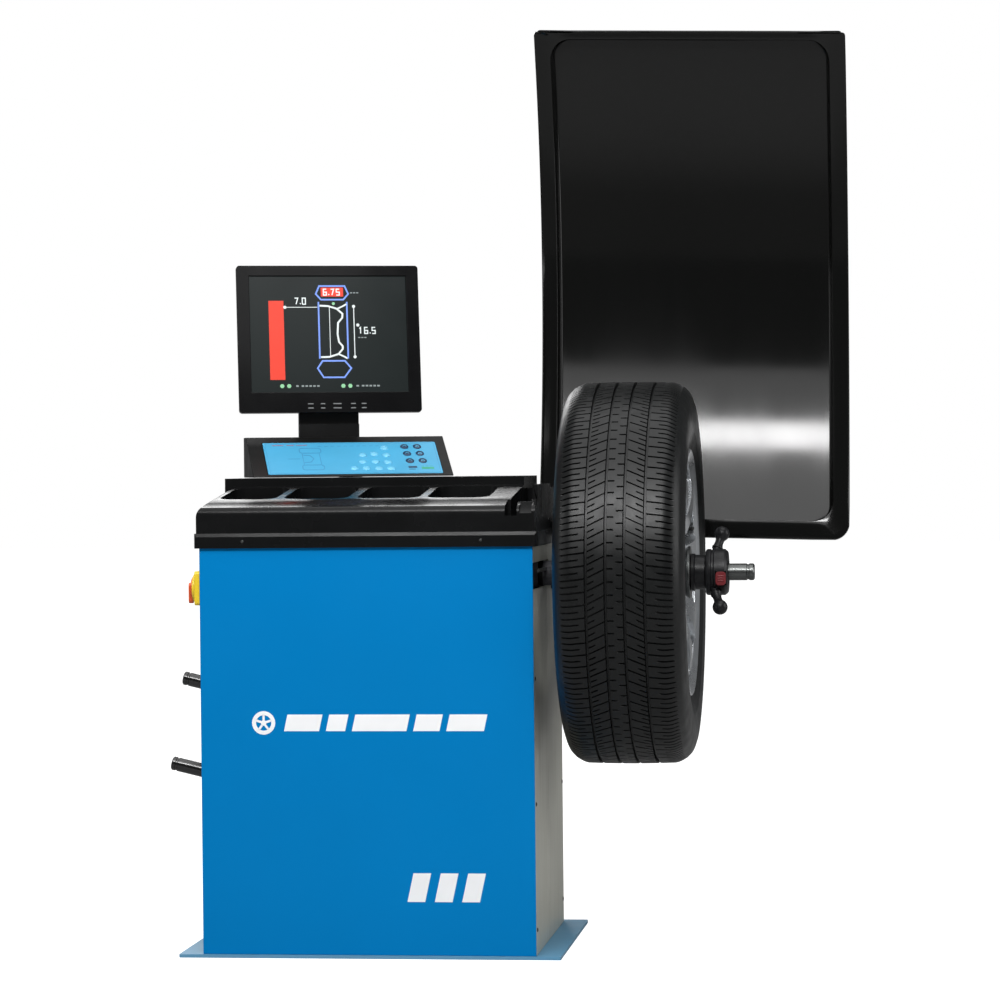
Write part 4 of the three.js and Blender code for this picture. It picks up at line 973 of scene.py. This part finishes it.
def rim():
    left, right = WHEEL_X - RIM_W / 2, WHEEL_X + RIM_W / 2
    well = 184.0
    outside = along(left, 0, [(0.5, 214), (0, 216), (1.5, 218.5), (5, 219.5), (8.5, 217.5), (10, 213),
                              (11.5, BEAD_R + 0.5), (38, BEAD_R - 2), (50, well + 5)])
    outside += along(right, 0, [(-62, well + 5), (-46, BEAD_R - 2), (-11.5, BEAD_R + 0.5), (-10, 213),
                                (-8.5, 217.5), (-5, 219.5), (-1.5, 218.5), (0, 216), (-0.5, 212)])
    inside = along(right, 0, [(-4, 206), (-8, BEAD_R - 6), (-44, BEAD_R - 9), (-60, well)])
    inside += along(left, 0, [(48, well), (36, BEAD_R - 8), (8, BEAD_R - 6), (4, 206)])
    barrel = turned(outside + inside, 144, ring=True)
    stand_in("rim", moved(merged(barrel, wheel_disc()), SPINDLE_PLACE), bevel=1.6, segments=2, limit=30)
    stem = turned([(0, 0), (0, 5), (6, 5), (8, 3.2), (26, 3), (27, 3.8), (34, 3.8), (35, 2.6), (35, 0)], 24)
    stem_place = SPINDLE_PLACE @ turned_about("X", 25) @ shift(right - 40, well + 2, 0)
    add("tyre_valve", moved(stem, stem_place @ turned_about("Z", -18)), "spindle", "belt_rubber")


# ---- spindle and quick nut
def on_spindle(node, profile, steps):
    """A ring round the spindle in a CAD node's place."""
    stand_in(node, moved(turned(profile, steps, ring=True), SPINDLE_PLACE))


def spindle_parts():
    low, high = span("spindle_shaft")
    journal = 16.5
    thread_end = high.x - 14
    shaft = [(low.x, 0), (low.x, 13), (low.x + 1, 14), (8, 14), (8, 20), (278, 20), (278, journal),
             (RIM_FACE_X - 20, journal), (RIM_FACE_X - 19, SHAFT_R)]
    shaft += along(thread_end, SHAFT_R, [(0, 0), (1, -1.4), (4, -1.4), (5, 0)])
    shaft += along(high.x, 0, [(-2.5, SHAFT_R), (0, SHAFT_R - 2.5), (0, 5), (-4, 3), (-4, 0)])
    stand_in("spindle_shaft", moved(turned(shaft, 80), SPINDLE_PLACE))
    low, high = span("backing_flange")
    flange = along(low.x, 0, [(0, journal + 0.4), (0, 39), (1, 40)])
    flange += along(RIM_FACE_X, 0, [(-40, 40), (-34, 46), (-18, 70), (-18, 98), (-16, 100)])
    flange += along(high.x, 0, [(-1, 100), (0, 99), (0, 84), (-5.6, 82), (-5.6, journal + 0.4)])
    on_spindle("backing_flange", flange, 96)
    low, high = span("centring_cone")
    cone = [(low.x, SHAFT_R + 0.4), (low.x, 22)]
    cone += along(high.x, 0, [(-6, 44), (-4, 46), (-0.6, 46), (0, 45.4), (0, SHAFT_R + 0.4)])
    on_spindle("centring_cone", cone, 80)


def handle_place(angle):
    """Where a profile drawn from the shaft's axis goes to lie along a handle of the nut."""
    return (turned_about("X", angle - 90) @ shift(HANDLE_X, 0, HANDLE_FOOT) @ turned_about("Y", HANDLE_LEAN)
            @ shift(0, 0, -HANDLE_FOOT) @ turned_about("Y", -90))


def quick_nut():
    bore = SHAFT_R + 0.4
    low, high = span("pressure_cup")
    cup = along(low.x, 0, [(0, bore), (0, 32), (1, 33), (6, 33), (8, 31)])
    cup += along(high.x, 0, [(-1, 30), (0, 29), (0, bore)])
    on_spindle("pressure_cup", cup, 72)
    low, high = span("quick_nut")
    profile = [(low.x, bore)]
    profile += along(low.x, NUT_R, [(0, -4), (1.2, -1.2), (4, 0), (9, 0), (11, -2.5), (14, -2.5), (16, 0)])
    profile += along(high.x, NUT_R, [(-6, 0), (-1.5, -3.5), (0, -6)])
    profile += along(high.x, 0, [(0, 24), (-3, 22), (-3, bore)])
    low, high = span("nut_release_button")
    socket = block(low.x - 0.6, high.x + 0.6, -NUT_R - 5, -NUT_R + 18,
                   low.z - AXIS.z - 0.5, high.z - AXIS.z + 0.5)
    bore_hole = rod(HANDLE_FOOT, NUT_R + 20, 8.4, 32)
    holes = [moved(bore_hole, handle_place(angle)) for angle in HANDLES]
    body = combined(turned(profile, 72, ring=True), [socket, *holes])
    stand_in("quick_nut", moved(body, SPINDLE_PLACE), bevel=0.5, segments=2, limit=32)
    mid_z = middle("nut_release_button").z
    button = prism(rounded(low.x, high.x, low.z, high.z, 6, 6), low.y + 1, high.y, "Y")
    ribs = [block(low.x + 4, high.x - 4, low.y, low.y + 3, mid_z + z, mid_z + z + 1.6)
            for z in (-5, -0.8, 3.4)]
    stand_in("nut_release_button", combined(button, ribs, "UNION"), bevel=0.8, segments=2)
    arm = along(HANDLE_FOOT, 0, [(0.5, 0), (0.5, 8)])
    arm += along(NUT_R, 0, [(5, 8), (5.5, 10), (8, 10), (10, 8.6), (16, 7.4), (22, 7.6)])
    turns = [math.radians(degrees) for degrees in range(42, 163, 12)]
    ball = [(NUT_R + 36 - 13.4 * math.cos(turn), 13.4 * math.sin(turn)) for turn in turns]
    grip = turned(arm + ball + [(NUT_R + 49.3, 0)], 40)
    for i, angle in enumerate(HANDLES):
        stand_in("nut_handle_%d" % (i + 1), moved(grip, SPINDLE_PLACE @ handle_place(angle)))


# ---- distance gauge
def gauge():
    low, high = span("gauge_rod")
    mid = middle("gauge_rod")
    profile = [(low.x, 0), (low.x, 6), (low.x + 1, 7)]
    for x in range(int(low.x) + 20, int(high.x) - 30, 10):
        profile += along(x, 7, [(0, 0), (0.4, -0.4), (1.0, -0.4), (1.4, 0)])
    profile += along(high.x, 0, [(-1, 7), (0, 6), (0, 0)])
    stand_in("gauge_rod", shifted(turned(profile, 40), 0, mid.y, mid.z))


# ---- wheel guard hood
FLANGE = ((0.1, 0.5), (0.3, 2.4), (0.5, 4.8), (0.75, 7.8), (0.95, 10.2), (1.0, 11.4), (1.0, 15.0))


def hood_rows(foot_z, head_z):
    """The sunk panel's rows as (z, how far its ends stand in, degrees its right end faces)."""
    quarter = [math.radians(90 * i / 8) for i in range(9)]
    start = foot_z + PANEL_CORNER
    end = head_z - PANEL_CORNER
    rows = [(foot_z + PANEL_CORNER * (1 - math.cos(turn)), PANEL_CORNER * (1 - math.sin(turn)),
             270 - math.degrees(turn)) for turn in quarter]
    rows += [(start + (end - start) * i / 44, 0.0, 180.0) for i in range(1, 44)]
    rows += [(end + PANEL_CORNER * math.sin(turn), PANEL_CORNER * (1 - math.cos(turn)),
              180 - math.degrees(turn)) for turn in quarter]
    return rows


def hood_wall():
    """The wall round the panel as (how far out, depth): a fillet, a straight rise and a rounded crest."""
    wall = []
    for i in range(1, 7):
        turn = math.radians(80 * i / 6)
        wall.append((10.0 * math.sin(turn) * 0.5, HOOD_RECESS - 10 * (1 - math.cos(turn))))
    reach = wall[-1][0] + 2.0
    wall.append((reach, 8.0))
    start = math.cos(math.radians(10))
    for i in range(1, 6):
        turn = math.radians(10 + 80 * i / 5)
        wall.append((reach + 6.0 * (start - math.cos(turn)) * 0.35, 8.0 * (1 - i / 5) ** 1.6))
    return wall


def hood():
    """A skewed sheet bent round a level axis, with a sunk panel, a wall round it and a flange to its edge."""
    low, high = span("hood_shell")
    middle_x = (low.x + high.x) / 2
    fall = HOOD_SKEW * (high.x - low.x) / 2
    low.z += fall
    high.z -= fall
    half_chord = (high.z - low.z) / 2
    radius = (half_chord ** 2 + HOOD_SAG ** 2) / (2 * HOOD_SAG)
    mid_z = (high.z + low.z) / 2
    axis_y = low.y + HOOD_SAG - radius
    inset = HOOD_RIM + 9
    across = 24

    def place(x, z, depth):
        lift = math.asin(max(-1.0, min(1.0, (z - mid_z) / radius)))
        reach = radius + depth
        return Vector((x, axis_y + reach * math.cos(lift), mid_z + reach * math.sin(lift)))

    def outer_edge(point, facing):
        """The flange's outer edge, straight out from a point of the panel's edge."""
        if facing in (90.0, 270.0):
            return Vector((point.x, high.z if facing == 90.0 else low.z))
        if facing in (0.0, 180.0):
            return Vector((high.x if facing == 0.0 else low.x, point.y))
        corner = HOOD_CORNER_LOW if point.y < mid_z else HOOD_CORNER_HIGH
        center_x = low.x + corner if 90 < facing < 270 else high.x - corner
        center_z = high.z - corner if facing < 180 else low.z + corner
        turn = math.radians(facing)
        return Vector((center_x + corner * math.cos(turn), center_z + corner * math.sin(turn)))

    def step_out(point, facing, reach):
        turn = math.radians(facing)
        return point.x + reach * math.cos(turn), point.y + reach * math.sin(turn)

    def skin(edge, ring):
        """Joins the last edge to a new ring of corners, which becomes the next edge."""
        start, count = len(corners), len(ring)
        corners.extend(ring)
        for k in range(count):
            after = (k + 1) % count
            faces.append((edge[k], edge[after], start + after, start + k))
        return range(start, start + count)

    corners, faces, grid = [], [], []
    rows = hood_rows(low.z + inset - 2, high.z - 23)
    for z, trim, _ in rows:
        x0, x1 = low.x + inset + trim, high.x - inset - trim
        grid.append(range(len(corners), len(corners) + across + 1))
        corners += [place(x0 + (x1 - x0) * j / across, z, HOOD_RECESS) for j in range(across + 1)]
    for one, two in zip(grid, grid[1:]):
        faces += [(one[j], one[j + 1], two[j + 1], two[j]) for j in range(across)]
    # The panel's edge as one loop, anticlockwise from the bottom row: each corner with the way it faces.
    ends = [(line[0], line[-1], row[2]) for line, row in zip(grid, rows)][1:-1]
    loop = [(corner, 270.0) for corner in grid[0]]
    loop += [(right, 540 - facing if facing > 180 else 180 - facing) for _, right, facing in ends]
    loop += [(corner, 90.0) for corner in reversed(grid[-1])]
    loop += [(left, facing) for left, _, facing in reversed(ends)]
    flat = []
    for index, facing in loop:
        corner = corners[index]
        lift = math.atan2(corner.z - mid_z, corner.y - axis_y)
        flat.append((Vector((corner.x, mid_z + radius * math.sin(lift))), facing % 360))
    edge = [index for index, _ in loop]
    wall = hood_wall()
    for reach, depth in wall:
        edge = skin(edge, [place(*step_out(point, facing, reach), depth) for point, facing in flat])
    for share, depth in FLANGE:
        ring = []
        for point, facing in flat:
            start = Vector(step_out(point, facing, wall[-1][0]))
            here = start + (outer_edge(point, facing) - start) * share
            flatter = 1 - 0.7 * max(0.0, math.sin(math.radians(facing))) ** 4
            ring.append(place(here.x, here.y, depth * flatter))
            ring[-1].z = min(ring[-1].z, high.z)
        edge = skin(edge, ring)
    for corner in corners:
        corner.z -= HOOD_SKEW * (corner.x - middle_x)
    piece = stand_in("hood_shell", (corners, faces))
    sheet = piece.modifiers.new("sheet", "SOLIDIFY")
    sheet.thickness = HOOD_SHEET * MM
    sheet.offset = -1
    if sum(polygon.normal.y for polygon in piece.data.polygons) > 0:
        piece.data.flip_normals()


# ---- CAD nodes that stay
def soft_shading():
    """A modifier's node group that shades a faceted solid smooth, except over its sharp edges."""
    group = bpy.data.node_groups.new("smooth_by_angle", "GeometryNodeTree")
    for way in ("INPUT", "OUTPUT"):
        group.interface.new_socket("Geometry", in_out=way, socket_type="NodeSocketGeometry")
    source = make_node(group, "NodeGroupInput").outputs[0]
    plain = make_node(group, "GeometryNodeRemoveAttribute", Geometry=source, Name="custom_normal")
    faces = make_node(group, "GeometryNodeSetShadeSmooth", Geometry=plain.outputs["Geometry"])
    angle = make_node(group, "GeometryNodeInputMeshEdgeAngle").outputs["Unsigned Angle"]
    sharp = make_node(group, "FunctionNodeCompare", A=angle, B=math.radians(28))
    edges = make_node(group, "GeometryNodeSetShadeSmooth", Geometry=faces.outputs["Geometry"],
                      Selection=sharp.outputs["Result"], Shade_Smooth=False)
    edges.domain = "EDGE"
    make_node(group, "NodeGroupOutput", Geometry=edges.outputs["Geometry"])
    return group


def dress_cad_nodes():
    smooth = soft_shading()
    for name, node in frame["nodes"].items():
        node.data.materials.clear()
        # The base plate takes the lighter copy of the blue, painted light on its upward face.
        node.data.materials.append(MATERIALS["plate_blue_painted_light" if name == "base_plate" else SLOT_OF[name]])
        if node.hide_render:
            continue
        round_edges(node, 0.6, 2, 40)
        node.modifiers.new("shade", "NODES").node_group = smooth


# ---- stage, light and camera
def area_light(name, place, target, size, watts):
    data = bpy.data.lights.new(name, "AREA")
    data.shape = "RECTANGLE"
    data.size, data.size_y = size
    data.energy = watts
    lamp = placed(name, data)
    lamp.location = place
    lamp.rotation_euler = (Vector(target) - Vector(place)).to_track_quat("-Z", "Y").to_euler()
    lamp.visible_camera = False


def stage():
    """A pale floor and a dim room that both look white to the camera."""
    half = 30.0                      # metres
    corners = [(-half, -half, 0), (half, -half, 0), (half, half, 0), (-half, half, 0)]
    mesh = bpy.data.meshes.new("floor")
    mesh.from_pydata(corners, [], [(0, 1, 2, 3)])
    paint("pale_floor", (0.35, 0.35, 0.35), 0.01, (0.7, 0.8), 0.5, specular=0.0, Emission_Color=(1, 1, 1, 1))
    paving = MATERIALS["pale_floor"]
    tree = paving.node_tree
    sight = make_node(tree, "ShaderNodeLightPath").outputs["Is Camera Ray"]
    share = make_node(tree, "ShaderNodeMapRange", Value=sight, To_Max=0.95)
    feed(tree, tree.nodes["Principled BSDF"], {"Emission_Strength": share.outputs["Result"]})
    mesh.materials.append(paving)
    placed("floor", mesh)
    world = bpy.data.worlds.new("studio")
    bpy.context.scene.world = world
    world.use_nodes = True
    tree = world.node_tree
    dim = feed(tree, tree.nodes["Background"], {"Color": (0.12, 0.122, 0.125, 1)})
    white = make_node(tree, "ShaderNodeBackground", Color=(1, 1, 1, 1))
    sight = make_node(tree, "ShaderNodeLightPath").outputs["Is Camera Ray"]
    mix = make_node(tree, "ShaderNodeMixShader", Fac=sight)
    tree.links.new(dim.outputs[0], mix.inputs[1])
    tree.links.new(white.outputs[0], mix.inputs[2])
    feed(tree, tree.nodes["World Output"], {"Surface": mix.outputs[0]})


def lights():
    area_light("hood_strip", (0.35, -3.05, 2.95), (0.55, 0.39, 0.91), (2.6, 0.3), 112)
    area_light("hood_fade", (0.4, -3.3, 2.5), (0.55, 0.39, 0.91), (2.4, 0.5), 9)
    area_light("softbox", (0.3, -2.2, 3.3), (0.5, 0.3, 0.85), (2.6, 1.1), 32)
    area_light("right_side", (4.2, -0.2, 1.8), (0.3, 0, 0.5), (1.6, 2.4), 50)
    area_light("left_side", (-4.0, -1.6, 2.2), (-0.2, 0, 0.6), (1.6, 2.0), 36)
    area_light("back_rim", (-1.5, 4.2, 2.6), (0.1, 0, 0.9), (2.4, 1.6), 50)
    data = bpy.data.lights.new("sky", "SUN")
    data.energy = 1.7
    data.angle = math.radians(60)
    placed("sky", data).location = (0, 0, 5)


def camera():
    data = bpy.data.cameras.new("camera")
    data.sensor_width = 36.0
    data.lens = 124.916
    view = placed("camera", data)
    yaw, pitch, roll = 0.1212, 0.0105, -0.0099
    forward = Vector((-math.sin(yaw) * math.cos(pitch), math.cos(yaw) * math.cos(pitch), -math.sin(pitch)))
    right = Vector((math.cos(yaw), math.sin(yaw), 0))
    up = right.cross(forward)
    level, tall = math.cos(roll), math.sin(roll)
    side = right * level + up * tall
    top = up * level - right * tall
    matrix = Matrix((side, top, -forward)).transposed().to_4x4()
    matrix.translation = Vector((964.70, -6198.23, 860.70)) * MM
    view.matrix_world = matrix
    bpy.context.scene.camera = view
    bpy.context.scene.view_settings.view_transform = "Standard"


camera()
stage()
lights()
front_panel()
side_panel_right()
slot_cover()
for peg_node in ("cone_peg_upper", "cone_peg_lower"):
    peg(peg_node)
main_switch()
mains_inlet()
cabinet_screws()
weight_tray()
head_box()
keypad()
monitor_neck()
monitor()
screen_picture()
tyre()
rim()
spindle_parts()
quick_nut()
gauge()
hood()
dress_cad_nodes()
